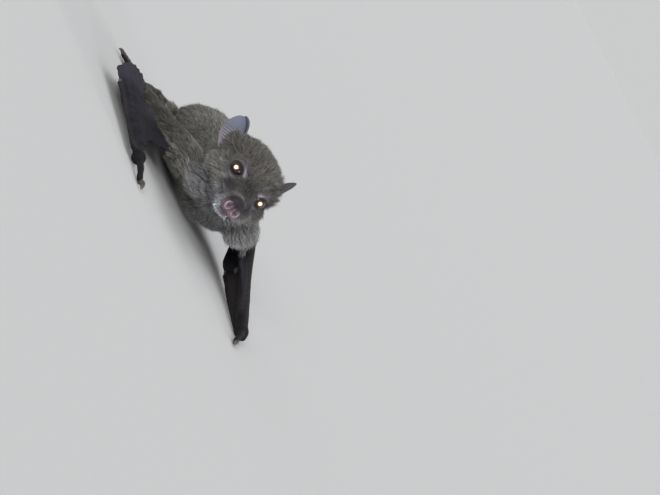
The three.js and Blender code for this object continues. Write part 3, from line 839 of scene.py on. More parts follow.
def normals_of(points, faces):
    a, b, c = (points[faces[:, k]] for k in range(3))
    facing = np.cross(b - a, c - a)
    normals = np.zeros_like(points)
    for k in range(3):
        for axis in range(3):
            normals[:, axis] += np.bincount(faces[:, k], facing[:, axis], len(points))
    return unit(normals)


def main_shell(mesh):
    """Deletes what is shut in under the skin, where forms enclose a pocket."""
    edges = edges_of(mesh)
    label = np.arange(len(mesh.vertices))
    while True:
        least = np.minimum(label[edges[:, 0]], label[edges[:, 1]])
        before = label.copy()
        np.minimum.at(label, edges[:, 0], least)
        np.minimum.at(label, edges[:, 1], least)
        label = label[label]
        if (label == before).all():
            break
    biggest = np.bincount(label).argmax()
    work = bmesh.new()
    work.from_mesh(mesh)
    lost = [v for v, keep in zip(work.verts, label == biggest) if not keep]
    bmesh.ops.delete(work, geom=lost, context="VERTS")
    work.to_mesh(mesh)
    work.free()


def nearest_of(points, spots):
    """The index of the point nearest to each spot."""
    tree = KDTree(len(points))
    for index, point in enumerate(points):
        tree.insert(point, index)
    tree.balance()
    return np.array([tree.find(spot)[1] for spot in spots])


def write_points(mesh, points):
    mesh.vertices.foreach_set("co", np.ascontiguousarray(points, np.float32).ravel())
    mesh.update()


all_points = np.vstack([points for points, _, _ in flesh])
starts = np.cumsum([0] + [len(points) for points, _, _ in flesh[:-1]])
all_faces = np.vstack([faces + start for (_, faces, _), start in zip(flesh, starts)])
all_told = np.vstack([told for _, _, told in flesh])
rough = shown("rough_skin", mesh_of("rough_skin", all_points, all_faces))
fuse = rough.modifiers.new("fuse", "REMESH")
fuse.mode = "VOXEL"
fuse.voxel_size = VOXEL
drawn = rough.evaluated_get(bpy.context.evaluated_depsgraph_get())
hide = bpy.data.meshes.new_from_object(drawn)
bpy.data.objects.remove(rough)
main_shell(hide)

points = places_of(hide)
told = all_told[nearest_of(all_points, points)]
edges = edges_of(hide)
told = relaxed(told, edges, 0.5, SMOOTHING["told"])
told[:, 3:] = relaxed(told[:, 3:], edges, 0.5, SMOOTHING["lie"])
points = relaxed(points, edges, 0.45, SMOOTHING["all"])
furred = smooth_step(told[:, :1], 0.5, 0.9)
points = relaxed(points, edges, 0.5 * furred, SMOOTHING["furred"])
flat_web = smooth_step(told[:, 1:2], 0.5, 0.9) * (1 - smooth_step(told[:, 2:3], 0.2, 0.6))
points = relaxed(points, edges, 0.45 * flat_web, SMOOTHING["web"])
points[:, 2] = np.maximum(points[:, 2], OVER_FLOOR)  # flat where it rests
write_points(hide, points)
for column, name in enumerate(TOLD):
    layer = hide.attributes.new(name, "FLOAT", "POINT")
    layer.data.foreach_set("value", told[:, column].astype(np.float32))


def refine(mesh, chosen):
    """Halves the edges between chosen points."""
    places = to_head(places_of(mesh))
    inside = chosen(places)
    work = bmesh.new()
    work.from_mesh(mesh)
    cut = [edge for edge in work.edges if inside[edge.verts[0].index] and inside[edge.verts[1].index]]
    bmesh.ops.subdivide_edges(work, edges=cut, cuts=1, use_grid_fill=True)
    work.to_mesh(mesh)
    work.free()


def from_pair(h, spot, stretch=(1, 1, 1)):
    """How far places on the head are from a spot or its mirror image, the nearer of the two."""
    return np.minimum(*(
        np.linalg.norm((h - mirrored(spot, side)) / stretch, axis=1) for side in SIDES.values()
    ))


def on_finer_face(h):
    from_snout = np.linalg.norm(h - SNOUT_AT, axis=1)
    return (from_snout < FINER_FACE["from_snout"]) & (h[:, 1] < FINER_FACE["back"])


def at_eye_or_nose(h):
    at_eye = (from_pair(h, EYE_AT) < FINEST_EYE["from_eye"]) & (h[:, 1] < FINEST_EYE["back"])
    return at_eye | (h[:, 1] < FINEST_NOSE)


refine(hide, on_finer_face)
refine(hide, at_eye_or_nose)

points = places_of(hide)
edges = edges_of(hide)
h = to_head(points)
told = np.empty((len(points), len(TOLD)))
for column, name in enumerate(TOLD):
    values = np.empty(len(points), np.float32)
    hide.attributes[name].data.foreach_get("value", values)
    told[:, column] = values

# ---------------------------------------------------------------- skin: the lids
# An almond-shaped opening round each eyeball, pointed towards the nose.  The hide is drawn onto
# the ball there: it stands up as a thick bare rim, with soft folds beyond and a pocket inside.
LID_WIDTH = math.radians(49)
LID_OVER = math.radians(40)
LID_UNDER = math.radians(39)
LID_TO_NOSE = 0.98  # how far the opening runs to either side, in its widths
LID_TO_EAR = 1.32
LID_REACH = 6.5  # from the eyeball's middle
LID_RIM = 0.42  # how thick the lid's edge stands on the eyeball
LID_POCKET = 1.1  # how deep the skin runs in under the eyeball's surface
LID_FACING = np.array([0.46, -0.86, 0.2])

lid = np.zeros(len(points))
beside_lid = np.zeros(len(points))
for side in SIDES.values():
    facing = unit(mirrored(LID_FACING, side))
    north = across_of(UP + (0.1 * side, 0, 0), facing)
    outward = np.cross(facing, north) * -side
    centre = mirrored(EYE_AT, side)
    away = h - centre
    far = np.linalg.norm(away, axis=1)
    way = away / far[:, None]

    # How far beyond the opening's edge each point lies, in millimetres along the eyeball.
    wide = np.arctan2(way @ outward, np.maximum(way @ facing, 1e-3))
    tall = np.arcsin(np.clip(way @ north, -1, 1))
    wide_part = wide / (LID_WIDTH * np.where(wide < 0, LID_TO_NOSE, LID_TO_EAR))
    tall_part = tall / np.where(tall > 0, LID_OVER, LID_UNDER)
    power = 2 - 0.3 * smooth_step(-wide_part, 0.2, 0.9)
    reach = (np.abs(wide_part) ** power + np.abs(tall_part) ** power) ** (1 / power)
    beyond = EYE_RADIUS * np.hypot(wide, tall) * (1 - 1 / np.maximum(reach, 1e-3))
    near = (far < LID_REACH) & (way @ facing > 0.02)

    # How far from the eyeball's middle the skin stands: pocket, rim, folds, then the face.
    rim = EYE_RADIUS + LID_RIM - 0.16 * np.clip((0.25 - beyond) / 0.25, 0, 1) ** 2
    under = EYE_RADIUS - LID_POCKET
    seated = under + (rim - under) * smooth_step(beyond, -0.34, 0.03)
    fold = 0.26 * bell(beyond, 1.5, 0.26) + 0.12 * bell(beyond, 2.2, 0.3) - 0.14 * bell(beyond, 0.9, 0.3)
    skin_far = np.maximum(far, EYE_RADIUS + LID_RIM - 0.05) - fold
    wanted = seated + (skin_far - seated) * smooth_step(beyond, 0.55, 1.5)
    h[near] = centre + way[near] * wanted[near, None]

    # The pale bare skin of the rim is broadest over the inner corner.
    angle = np.arctan2(tall_part, -wide_part)
    upper_inner = bell(angle, 0.45, 0.8)
    lower = 0.62 * bell(angle, -1.5, 0.8)
    around = np.maximum(np.maximum(upper_inner, lower), 0.28)
    streak = 0.75 + 0.25 * np.cos(beyond * 6 + 1.5 * np.sin(3 * angle))
    band = bell(beyond, 0.85, 0.85) * streak * smooth_step(beyond, 0.1, 0.5)
    lid = np.where(near, np.maximum(lid, around * band), lid)
    bare = (1 - smooth_step(beyond, 0.3, 1.2 + 1.1 * upper_inner)) * near * (beyond > -0.5)
    beside_lid = np.maximum(beside_lid, bare)
    behind_ball = near & (beyond < -0.5)
    h[behind_ball] = centre + way[behind_ball] * under

# ---------------------------------------------------------------- skin: nose and mouth
# Two short tubes that open forwards and out, each with a raised rim, parted by a groove that
# runs on down the lip.  The mouth is shut, a thin line between full lips.
NOSTRIL_AT = np.array([2.0, -17.9, -5.6])
NOSTRIL_TALL = 1.3
RING_FAR = 1.3  # from the nostril's middle to the crest of its rim
hide_faces = triangles_of(hide)
normal = normals_of(from_head(h), hide_faces) @ HEAD_AXES
nostril = np.zeros(len(points))
rim_glow = np.zeros(len(points))
push = np.zeros(len(points))
for side in SIDES.values():
    away = (h - mirrored(NOSTRIL_AT, side)) / (1, 1, NOSTRIL_TALL)
    far = np.linalg.norm(away, axis=1)
    angle = np.arctan2(away[:, 2], away[:, 0] * side)  # 0 is outwards, then up
    notch = bell(angle, 2.2, 0.42)
    push += 0.4 * bell(far, RING_FAR, 0.28) * (1 - notch) - 1.4 * (1 - smooth_step(far, 0.35, 0.95))
    curl = bell(far, 0.72, 0.16) * bell(angle, 1.2, 0.5)
    nostril = np.maximum(nostril, 1 - smooth_step(far, 0.75, 1.05))
    outer = np.maximum(bell(angle, -0.25, 1.3), 0.7 * bell(angle, -2.1, 0.8))
    bright = np.maximum(outer, 0.45 * bell(angle, 2.9, 0.6)) * (1 - notch)
    rim_glow = np.maximum(rim_glow, np.maximum(bell(far, RING_FAR, 0.24) * bright, 0.6 * curl))

front = smooth_step(-h[:, 1], 13.2, 15.2)
groove = bell(h[:, 0], 0, 0.42) * front * smooth_step(-h[:, 2], 2.6, 4.4)
push -= 0.42 * groove

mouth_at = -9.3 - 0.2 * (h[:, 1] + 15.5) + 0.3 * np.cos(h[:, 0] * 1.2)
on_muzzle = smooth_step(-h[:, 1], 0.5, 2.5) * (h[:, 2] < -5)
mouth = bell(h[:, 2], mouth_at, 0.34) * on_muzzle * (np.abs(normal[:, 2]) < 0.93)
lips = bell(h[:, 2], mouth_at, 1.0) * on_muzzle
push += 0.2 * lips - 0.95 * mouth
philtrum = bell(h[:, 0], 0, 2.3) * front * bell(h[:, 2], -8.2, 1.1)
flush = 0.85 * front * (1 - smooth_step(np.abs(h[:, 0]), 3.8, 5.6)) * smooth_step(-h[:, 2], 3.2, 7.6)

h += normal * push[:, None]
points = from_head(h)
face_only = ((lid > 0.02) | (nostril > 0.02) | (mouth > 0.05))[:, None] * 0.35
points = relaxed(points, edges, face_only, 2)

# The hair thins out to the bare nose tip, lips and lids.
nose_tip = smooth_step(-h[:, 1], 13.9, 15.1) * smooth_step(h[:, 2], mouth_at + 0.2, mouth_at + 0.9)
told[:, 0] *= 1 - nose_tip
told[:, 0] *= 1 - 0.97 * smooth_step(beside_lid, 0.25, 0.8)
told[:, 0] *= 1 - 0.9 * smooth_step(mouth, 0.3, 0.8)
told[from_pair(h, EYE_AT) < EYE_RADIUS + 0.3, 0] = 0  # none where the eyeball sits

# Painted light: the web behind the folded fingers, deep in shade between the arm and the body, is painted
# paler there.
web_root = np.zeros(len(points))
for wing in WINGS.values():
    back = (np.asarray(wing["wrist"]) - points) @ wing["reach"]
    behind_hand = smooth_step(back, 47, 58) * (1 - smooth_step(back, 78, 90))
    web_root = np.maximum(web_root, behind_hand * (points[:, 0] * wing["side"] > 20))
web_root *= smooth_step(told[:, 1], 0.3, 0.8)
write_points(hide, points)

# ---------------------------------------------------------------- skin: the ears
# Each ear is a short naked funnel of thin leathery skin with a blunt tip, open to the front and
# the side, ribbed across inside.  It grows out of the hide and is part of it.
EAR_LENGTH = 14.7
EAR_WIDTH = 11
EARS = {
    "left": {"root": (11.4, 14.5, 2.6), "axis": (0.42, 0.74, 0.46), "opening": (1, -0.15, 0.1)},
    "right": {"root": (-13.7, 13.9, -0.3), "axis": (-0.3, 0.72, 0.6), "opening": (-0.72, -0.66, 0.2)},
}
EAR_ROOT_DEPTH = 2.5
EAR_THICKNESS = 0.62
RIB_PITCH = 1.05
RIB_HEIGHT = 0.2


def ear_of(root, axis, opening):
    """The ear's points and triangles, and what each point tells of the ear there."""
    way = unit(np.array(axis, float))
    facing = across_of(opening, way)
    beside = np.cross(way, facing)

    def point(t, w):
        tip = np.clip(1 - (np.maximum(0, t - 0.3) / 0.705) ** 3.2, 0, 1) ** 0.44
        half = EAR_WIDTH / 2 * (0.9 + 0.3 * t * (1 - t) - 0.42 * (1 - t) ** 3) * tip + 0.3
        a = (2 * w - 1) * (1.7 - 0.75 * t)
        wave = 0.25 * np.sin(5 * t + 3 * w) * np.abs(2 * w - 1) ** 2
        return (
            np.asarray(root, float)
            + way * (EAR_LENGTH * t - 1 - EAR_ROOT_DEPTH * (1 - t) ** 3)
            + beside * half * np.sin(a)
            + facing * (half * (0.55 - 0.8 * np.cos(a)) + wave)
        )

    grid, t, w = lie_grid(point, 110, 60)
    normal = unit(np.cross(np.gradient(grid, axis=0), np.gradient(grid, axis=1)))
    normal *= np.sign((normal * facing).sum(-1).mean())
    edge = np.maximum(np.abs(2 * w - 1) ** 7, np.clip((t - 0.9) / 0.1, 0, 1) ** 2)
    half_thick = (EAR_THICKNESS / 2 * (1 - 0.62 * edge))[..., None]
    ribbed = smooth_step(t, 0.12, 0.22) * (1 - smooth_step(t, 0.52, 0.66)) * (1 - np.abs(2 * w - 1) ** 4)
    phase = EAR_LENGTH * t / RIB_PITCH + 1.1 * (2 * w - 1) ** 2 + 2.1 * (2 * w - 1)
    phase += 0.14 * np.sin(9 * w + 5 * t)
    rib = ribbed * (0.5 + 0.5 * np.cos(2 * np.pi * phase)) ** 1.5
    front = grid + normal * (half_thick + (RIB_HEIGHT * rib)[..., None])
    back = grid - normal * half_thick
    points, faces = closed_sheet(front, back)
    # Painted shade: a dark band inside the ear's front margin, where its fold lies in shade.
    fold = bell(w, 0.82, 0.065) * smooth_step(t, 0.3, 0.5)
    zero = np.zeros_like(rib)
    told_of = {"ear": (zero + 1, zero + 1), "ear_out": (t, t), "ear_rib": (rib, zero)}
    told_of.update(ear_inside=(zero + 1, zero), ear_ribbed=(ribbed, zero), ear_fold=(fold, zero))
    traits = {
        name: np.concatenate([inside, outside[:, ::-1]], axis=1).ravel()
        for name, (inside, outside) in told_of.items()
    }
    return points, faces, traits


def facing_out(points, faces):
    """The triangles, turned over if they face inwards."""
    a, b, c = (points[faces[:, k]] for k in range(3))
    return faces if (a * np.cross(b, c)).sum() > 0 else faces[:, ::-1]


skin_points = [points]
skin_faces = [hide_faces]
TRAITS = {
    "fur": told[:, 0],
    "web": told[:, 1],
    "digit": told[:, 2],
    "lid": lid,
    "nose_tip": nose_tip,
    "rim": rim_glow,
    "nostril": nostril,
    "mouth": np.maximum(mouth, 0.3 * lips * (1 - told[:, 0])),
    "lip": np.maximum(philtrum, flush),
    "web_root": web_root,
}
for name in ("ear", "ear_out", "ear_rib", "ear_inside", "ear_ribbed", "ear_fold"):
    TRAITS[name] = np.zeros(len(points))
total = len(points)
for ear in EARS.values():
    ear_points, ear_faces, added = ear_of(**ear)
    ear_points = from_head(ear_points)
    skin_points.append(ear_points)
    skin_faces.append(facing_out(ear_points - ear_points.mean(0), ear_faces) + total)
    total += len(ear_points)
    for name in TRAITS:
        TRAITS[name] = np.concatenate([TRAITS[name], added.get(name, np.zeros(len(ear_points)))])
skin_points = np.vstack(skin_points)
skin_faces = np.vstack(skin_faces)

# ---------------------------------------------------------------- skin: its markings and finish
# The coat's colours lie on the hide too: grey, browner on the crown, dark on the bridge of the
# snout and round the eyes, pale on the cheeks, throat and chin.  Wings and digits are near black.
# Some of it is painted light: painted shade on the left of the face, in the ear's front fold and
# its grooves, painted light below the left shoulder and on the web behind the hand, and a painted
# highlight along the little finger.
COAT = {
    "back": (0.176, 0.174, 0.158),
    "crown": (0.135, 0.127, 0.115),
    "shoulder": (0.115, 0.113, 0.102),
    "cheek": (0.235, 0.229, 0.215),
    "throat": (0.222, 0.225, 0.234),
    "belly": (0.190, 0.186, 0.174),
    "snout": (0.060, 0.053, 0.060),
    "bridge": (0.055, 0.051, 0.051),
    "left_face_painted_shade": (0.080, 0.076, 0.073),
    "above_nose": (0.170, 0.158, 0.158),
    "eye_ring": (0.082, 0.075, 0.084),
    "chin": (0.62, 0.64, 0.70),
    "lip_side": (0.50, 0.49, 0.53),
    "arm": (0.072, 0.070, 0.064),
}
LATTICE_SIDE = 32
LATTICE = np.random.default_rng(11).random((LATTICE_SIDE, LATTICE_SIDE, LATTICE_SIDE))


def patchy(places, size):
    """Smooth random values between 0 and 1 over places, in patches of about the size given."""
    at = places / size + 100
    low = np.floor(at).astype(int)
    part = at - low
    part = part * part * (3 - 2 * part)
    value = 0
    for corner in np.ndindex(2, 2, 2):
        cell = (low + corner) % LATTICE_SIDE
        share = np.prod(np.where(corner, part, 1 - part), axis=1)
        value = value + share * LATTICE[cell[:, 0], cell[:, 1], cell[:, 2]]
    return value


def marking(places):
    """The coat's colours at places on the bat, with painted shade on the left of the face and painted light
    below the left shoulder.
    """
    h = to_head(places)
    head = 1 - smooth_step(h[:, 1], 19, 30)
    colour = np.tile(np.array(COAT["back"]), (len(places), 1))

    def lay(name, amount):
        nonlocal colour
        amount = np.clip(amount, 0, 1)[:, None]
        colour = colour + (np.array(COAT[name]) - colour) * amount

    out = np.abs(places[:, 0] - 1)
    lay("belly", (1 - smooth_step(places[:, 2], 6, 13)) * (1 - smooth_step(out, 13, 18)))
    lay("shoulder", bell(np.linalg.norm(places - (-18, -6, 20), axis=1), 0, 15) * 0.9)
    lay("arm", smooth_step(out, 20, 27) * (1 - head))
    # Partly paler chest fur and partly painted light: the throat's colour is laid on the chest below the
    # left shoulder, where the head's shadow falls.
    lay("throat", bell(np.linalg.norm(places - (12, -17, 15), axis=1), 0, 13))
    lay("crown", head * smooth_step(h[:, 2], -2, 4))
    before_ear = 1 - smooth_step(h[:, 1], 11, 18)
    cheek = smooth_step(-h[:, 2], -1, 4) * smooth_step(np.abs(h[:, 0]), 4.5, 8)
    lay("cheek", head * cheek * before_ear)
    lay("throat", head * smooth_step(-h[:, 2], 7.5, 10.5) * before_ear)
    # Painted shade: the bat's left side of the face, turned away from the key light, is darkened.
    shaded_left_face = smooth_step(h[:, 0], 3, 11) * (1 - smooth_step(h[:, 1], 16, 24))
    lay("left_face_painted_shade", 0.7 * shaded_left_face * smooth_step(h[:, 2], -8, -3))
    bridge = bell(h[:, 0], 0, 4.6) * smooth_step(-h[:, 1], 3.0, 8.0) * smooth_step(h[:, 2], -6.8, -4.2)
    lay("bridge", head * bridge)
    round_eye = from_pair(h, EYE_AT + (-0.6, -1.0, -0.4))
    lay("eye_ring", 0.85 * (1 - smooth_step(round_eye, 4.4, 6.4)))
    beside_snout = from_pair(h, (4.5, -8.4, -4.6), stretch=(1, 1.35, 1))
    lay("snout", 0.92 * (1 - smooth_step(beside_snout, 2.3, 4.4)))
    lay("above_nose", 0.8 * bell(h[:, 1], -12.6, 0.8) * smooth_step(h[:, 2], -4.5, -2.5))
    beside_mouth = smooth_step(np.abs(h[:, 0]), 2.0, 3.2) * bell(h[:, 2], -8.2, 2.2)
    lay("lip_side", beside_mouth * smooth_step(-h[:, 1], 5.5, 9.5))
    wisps = 0.55 + 0.45 * smooth_step(patchy(places, 0.9), 0.3, 0.6)
    lay("chin", wisps * smooth_step(-h[:, 1], 8.5, 11.5) * smooth_step(-h[:, 2], 8.9, 9.8))
    tone = 0.84 + 0.32 * patchy(places, 5.5) + 0.3 * (patchy(places, 1.7) - 0.5)
    return colour * tone[:, None]


def skin_paint(wire):
    trait = {name: attribute(wire, name) for name in TRAITS}
    coat = attribute(wire, "marking", output="Color")
    mottle = noise(wire, 900, detail=4)
    patches = noise(wire, 150, detail=3)
    under_coat = trait["fur"].mix((0.06, 0.052, 0.052), coat)
    under_coat = (mottle * 0.5).mix(under_coat, (0.03, 0.028, 0.028))
    bare = mottle.mix((0.0062, 0.0059, 0.0070), (0.0125, 0.0112, 0.0130))
    # Painted highlight: the little finger, whose digit is above 1.15, is painted pale along its length.
    finger_painted_highlight = mottle.mix((0.065, 0.062, 0.070), (0.120, 0.112, 0.122))
    bare = trait["digit"].span(1.15, 1.5).mix(bare, finger_painted_highlight)
    web = patches.span(0.35, 0.65).mix((0.0110, 0.0110, 0.0130), (0.0190, 0.0178, 0.0270))
    # Painted light: the shaded web behind the folded fingers is painted paler.
    web = (trait["web_root"] * 0.6).mix(web, (0.048, 0.045, 0.060))
    colour = trait["digit"].clamped().mix(under_coat, bare)
    on_web = trait["web"] * (1 - trait["fur"]) * (1 - trait["digit"].clamped() * 0.7)
    colour = on_web.clamped().mix(colour, web)
    pad = mottle.mix((0.016, 0.013, 0.016), (0.036, 0.029, 0.036))
    colour = trait["nose_tip"].mix(colour, pad)
    colour = (trait["lip"] * mottle.span(0.1, 0.5)).clamped().mix(colour, (0.205, 0.145, 0.175))
    colour = trait["mouth"].clamped().mix(colour, (0.050, 0.028, 0.034))
    lid_skin = noise(wire, 1700, detail=4).span(0.25, 0.7).mix((0.15, 0.14, 0.17), (0.33, 0.31, 0.37))
    colour = (trait["lid"] * 1.1).clamped().mix(colour, lid_skin)
    colour = (trait["nostril"] * 0.9).clamped().mix(colour, (0.105, 0.068, 0.082))
    colour = (trait["rim"] * 1.2).clamped().mix(colour, (0.32, 0.265, 0.30))
    shell = trait["ear_out"].node("ValToRGB", {"stops": [
        (0.05, (0.36, 0.30, 0.30)),
        (0.30, (0.26, 0.235, 0.265)),
        (0.62, (0.135, 0.145, 0.190)),
        (0.97, (0.145, 0.160, 0.215)),
    ]}, {"Fac": trait["ear_out"]})
    outside = mottle.mix((0.050, 0.048, 0.056), (0.085, 0.080, 0.092))
    shell = trait["ear_inside"].mix(outside, shell)
    # Painted shade darkens the grooves between the ribs; the ribs' crests are painted paler.
    rib_groove_shade = trait["ear_inside"] * (1 - trait["ear_rib"].span(0.0, 0.4)) * trait["ear_ribbed"]
    shell = (rib_groove_shade * 0.75).clamped().mix(shell, (0.030, 0.030, 0.040))
    shell = (trait["ear_rib"] * 0.6).clamped().mix(shell, (0.30, 0.285, 0.33))
    # Painted shade in the fold inside the ear's front margin.
    shell = (trait["ear_fold"] * 0.85).clamped().mix(shell, (0.022, 0.022, 0.030))
    colour = trait["ear"].mix(colour, shell)
    pores = noise(wire, 2600, detail=4)
    creases = {"Vector": own_place(wire), "Scale": 1300.0}
    creases = wire.node("TexVoronoi", {"feature": "DISTANCE_TO_EDGE"}, creases)
    relief = pores * 0.5 + creases.span(0.0, 0.25) * 0.5
    gloss = 0.62 - 0.15 * trait["nose_tip"] - 0.2 * trait["lid"] + 0.2 * trait["web"] + 0.08 * pores
    return {"Base Color": colour, "Roughness": gloss.clamped(), "Normal": bump(wire, relief, 0.00012, 0.55)}


def store(mesh, name, values, kind="FLOAT"):
    """Keeps a value or a colour for each point of a mesh, for its material to read."""
    layer = mesh.attributes.new(name, kind, "POINT")
    if kind == "FLOAT":
        layer.data.foreach_set("value", values.astype(np.float32))
    else:
        full = np.column_stack([values, np.ones(len(values))])
        layer.data.foreach_set("color", full.astype(np.float32).ravel())


def finished(name, points, faces, material):
    """A piece of the bat in place: its mesh in metres, its material, and the body it rides on."""
    mesh = mesh_of(name, (points + STANCE) * MM, faces)
    mesh.polygons.foreach_set("use_smooth", np.ones(len(mesh.polygons), bool))
    mesh.materials.append(material)
    piece = shown(name, mesh)
    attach(piece, "root")
    return piece


hide_material = material_of("hide", skin_paint, **{"Specular IOR Level": 0.12})
skin = finished("skin", skin_points, skin_faces, hide_material)
for name, values in TRAITS.items():
    store(skin.data, name, values)
store(skin.data, "marking", marking(skin_points), kind="FLOAT_COLOR")

FLESH_NODES = ["nose", "lower_jaw", "head", "neck", "chest", "abdomen", "tail"]
for side in SIDES:
    for part in (
        "ear", "wrist", "forearm", "thumb", "index_finger", "little_finger", "ring_finger",
        "middle_finger", "upper_arm", "hand_membrane", "shoulder_membrane", "flank_membrane",
        "foot", "shank", "thigh", "tail_membrane",
    ):
        FLESH_NODES.append(f"{part}_{side}")
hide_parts(*FLESH_NODES)

# ---------------------------------------------------------------- eyes
# Big dark eyeballs, wet and clear in front.  The wide pupil is painted pale gold and made to glow
# by emission, a painted reflection standing in for eyeshine, inside an amber ring.
CORNEA_RISE = 0.22
CORNEA_HALF = 0.9  # half its angle, in radians
LID_GAP = 0.12
EYE_RINGS = 70
EYE_SIDES = 72
PUPIL = 0.205  # half its angle, in radians
AMBER = 0.36
GAZE = {"left": (0.27, -0.96, 0.2), "right": (-0.62, -0.77, 0.2)}  # both a little to its right


def eye_paint(wire):
    off = attribute(wire, "off_gaze")
    flecks = noise(wire, 2200, detail=3)
    iris = flecks.mix((0.004, 0.003, 0.003), (0.014, 0.009, 0.006))
    amber = off.span(PUPIL * 1.05, AMBER).mix((0.26, 0.105, 0.024), iris)
    # Painted reflection: the pupil is painted pale gold as eyeshine, and it glows by its emission.
    painted_eyeshine = off.span(PUPIL * 0.55, PUPIL).mix((1.0, 0.94, 0.78), (0.80, 0.60, 0.34))
    colour = off.span(PUPIL * 0.92, PUPIL * 1.08).mix(painted_eyeshine, amber)
    painted_eyeshine_emission = off.span(PUPIL * 0.9, PUPIL * 1.1).mix(colour, (0, 0, 0))
    return {"Base Color": colour, "Emission Color": painted_eyeshine_emission}


eye_material = material_of(
    "eyeball", eye_paint, **{
        "Roughness": 0.35, "Specular IOR Level": 0.1, "Coat Weight": 1.0, "Coat IOR": 1.42,
        "Coat Roughness": 0.02, "Emission Strength": 0.75,
    },
)
for name, side in SIDES.items():
    centre = from_head(mirrored(EYE_AT, side))
    gaze = HEAD_AXES @ unit(np.array(GAZE[name], float))
    across = unit(np.cross(gaze, UP))
    over = np.cross(across, gaze)
    off = np.linspace(0.02, math.pi - 0.02, EYE_RINGS)
    spin = 2 * np.pi * np.arange(EYE_SIDES) / EYE_SIDES
    far = EYE_RADIUS - LID_GAP + CORNEA_RISE * np.clip(1 - (off / CORNEA_HALF) ** 2, 0, 1)
    rings = centre + (
        gaze * (np.cos(off) * far)[:, None, None]
        + across * (np.sin(off) * far)[:, None, None] * np.cos(spin)[:, None]
        + over * (np.sin(off) * far)[:, None, None] * np.sin(spin)[:, None]
    )
    eye_points, eye_faces = closed_rings(rings)
    eye_faces = facing_out(eye_points - centre, eye_faces)
    eye = finished(f"eyeball_{name}", eye_points, eye_faces, eye_material)
    store(eye.data, "off_gaze", per_point(rings, off))
    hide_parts(f"eye_{name}")

# ---------------------------------------------------------------- claws
# Hooked horn on the thumbs, the second fingers and the toes: narrow, deep at the root, dark and
# worn paler at the point.  Each grows out of the end of its digit.


def claw_paint(wire):
    along = attribute(wire, "along")
    streaks = noise(wire, 1500, detail=4)
    dark = streaks.mix((0.030, 0.024, 0.021), (0.055, 0.044, 0.038))
    colour = along.span(0.45, 1.0).mix(dark, (0.16, 0.125, 0.10))
    return {"Base Color": colour, "Normal": bump(wire, streaks, 0.00004, 0.4)}


claw_material = material_of("claw", claw_paint, Roughness=0.32)
CLAW_RINGS = 22
CLAW_SIDES = 14
CLAW_WIDE = 0.62  # a claw is narrower than it is deep
CLAW_DEEP = 1.05


def claw_form(root, way, length, radius, hook):
    """A hooked claw: points, triangles and how far along each point is."""
    t = np.linspace(0, 1, CLAW_RINGS)
    root, way = np.asarray(root, float), unit(np.asarray(way, float))
    path = spline([
        root - way * 0.6,
        root + way * length * 0.35 + UP * length * 0.13,
        root + way * length * 0.75 + UP * length * 0.06,
        root + way * length - UP * length * hook,
    ], t)
    along = unit(np.gradient(path, axis=0))
    across = unit(np.cross(along, UP))
    over = np.cross(across, along)
    girth = radius * np.sqrt(np.clip(1 - t**1.5, 0, 1)) + 0.02
    a = 2 * np.pi * np.arange(CLAW_SIDES) / CLAW_SIDES
    wide = CLAW_WIDE * girth[:, None] * np.cos(a)
    rings = rings_round(path, across, over, wide, CLAW_DEEP * girth[:, None] * np.sin(a))
    claw_points, claw_faces = closed_rings(rings)
    return claw_points, facing_out(claw_points - claw_points.mean(0), claw_faces), per_point(rings, t)


def claw_piece(name, forms, *replaced):
    counts = np.cumsum([0] + [len(form[0]) for form in forms[:-1]])
    faces = np.vstack([form[1] + start for form, start in zip(forms, counts)])
    piece = finished(name, np.vstack([form[0] for form in forms]), faces, claw_material)
    store(piece.data, "along", np.concatenate([form[2] for form in forms]))
    if replaced:
        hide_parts(*replaced)


for name, wing in WINGS.items():
    thumb_root = wing["thumb_tip"] + wing["thumb_way"] * 0.9
    thumb_hook = claw_form(thumb_root, wing["thumb_way"], 5.4, 1.15, 0.08)
    claw_piece(f"thumb_hook_{name}", [thumb_hook], f"thumb_claw_{name}")
    finger_end = on_finger(wing, 3, INDEX_LENGTH + 0.8)
    finger_hook = claw_form(finger_end, -wing["reach"], 3.0, 0.72, 0.1)
    claw_piece(f"finger_hook_{name}", [finger_hook], f"index_claw_{name}")
for name, tips in toe_tips.items():
    hooks = [claw_form(root + way * 8.4 + UP * 0.2, way, 3.3, 0.8, 0.16) for root, way in tips]
    claw_piece(f"toe_hooks_{name}", hooks)

# ---------------------------------------------------------------- coat
# Soft dense fur, woolly on the head and longer on the back: thin tapering blades of hair that
# lean back along the body and are drawn together in locks.  Roots are dark, tips pale and grizzled.
SEED = 7
TUFT_LIMIT = 199_000  # triangles in one piece of the coat
COVER = 7.2  # how many blades lie over each point of the hide
ROOT_DEPTH = 0.15
GUARD_SHARE = 0.12  # of the hairs are longer, finer and paler
SHADE_SPREAD = 0.4
GATHERED = (0.36, 0.16)  # how far tips are drawn to their lock's, mean and spread
BLADES_IN_LOCK = 11
PATCH = 0.003  # side of each blade's patch on the flat map
PATCH_MARGIN = 0.004

rng = np.random.default_rng(SEED)


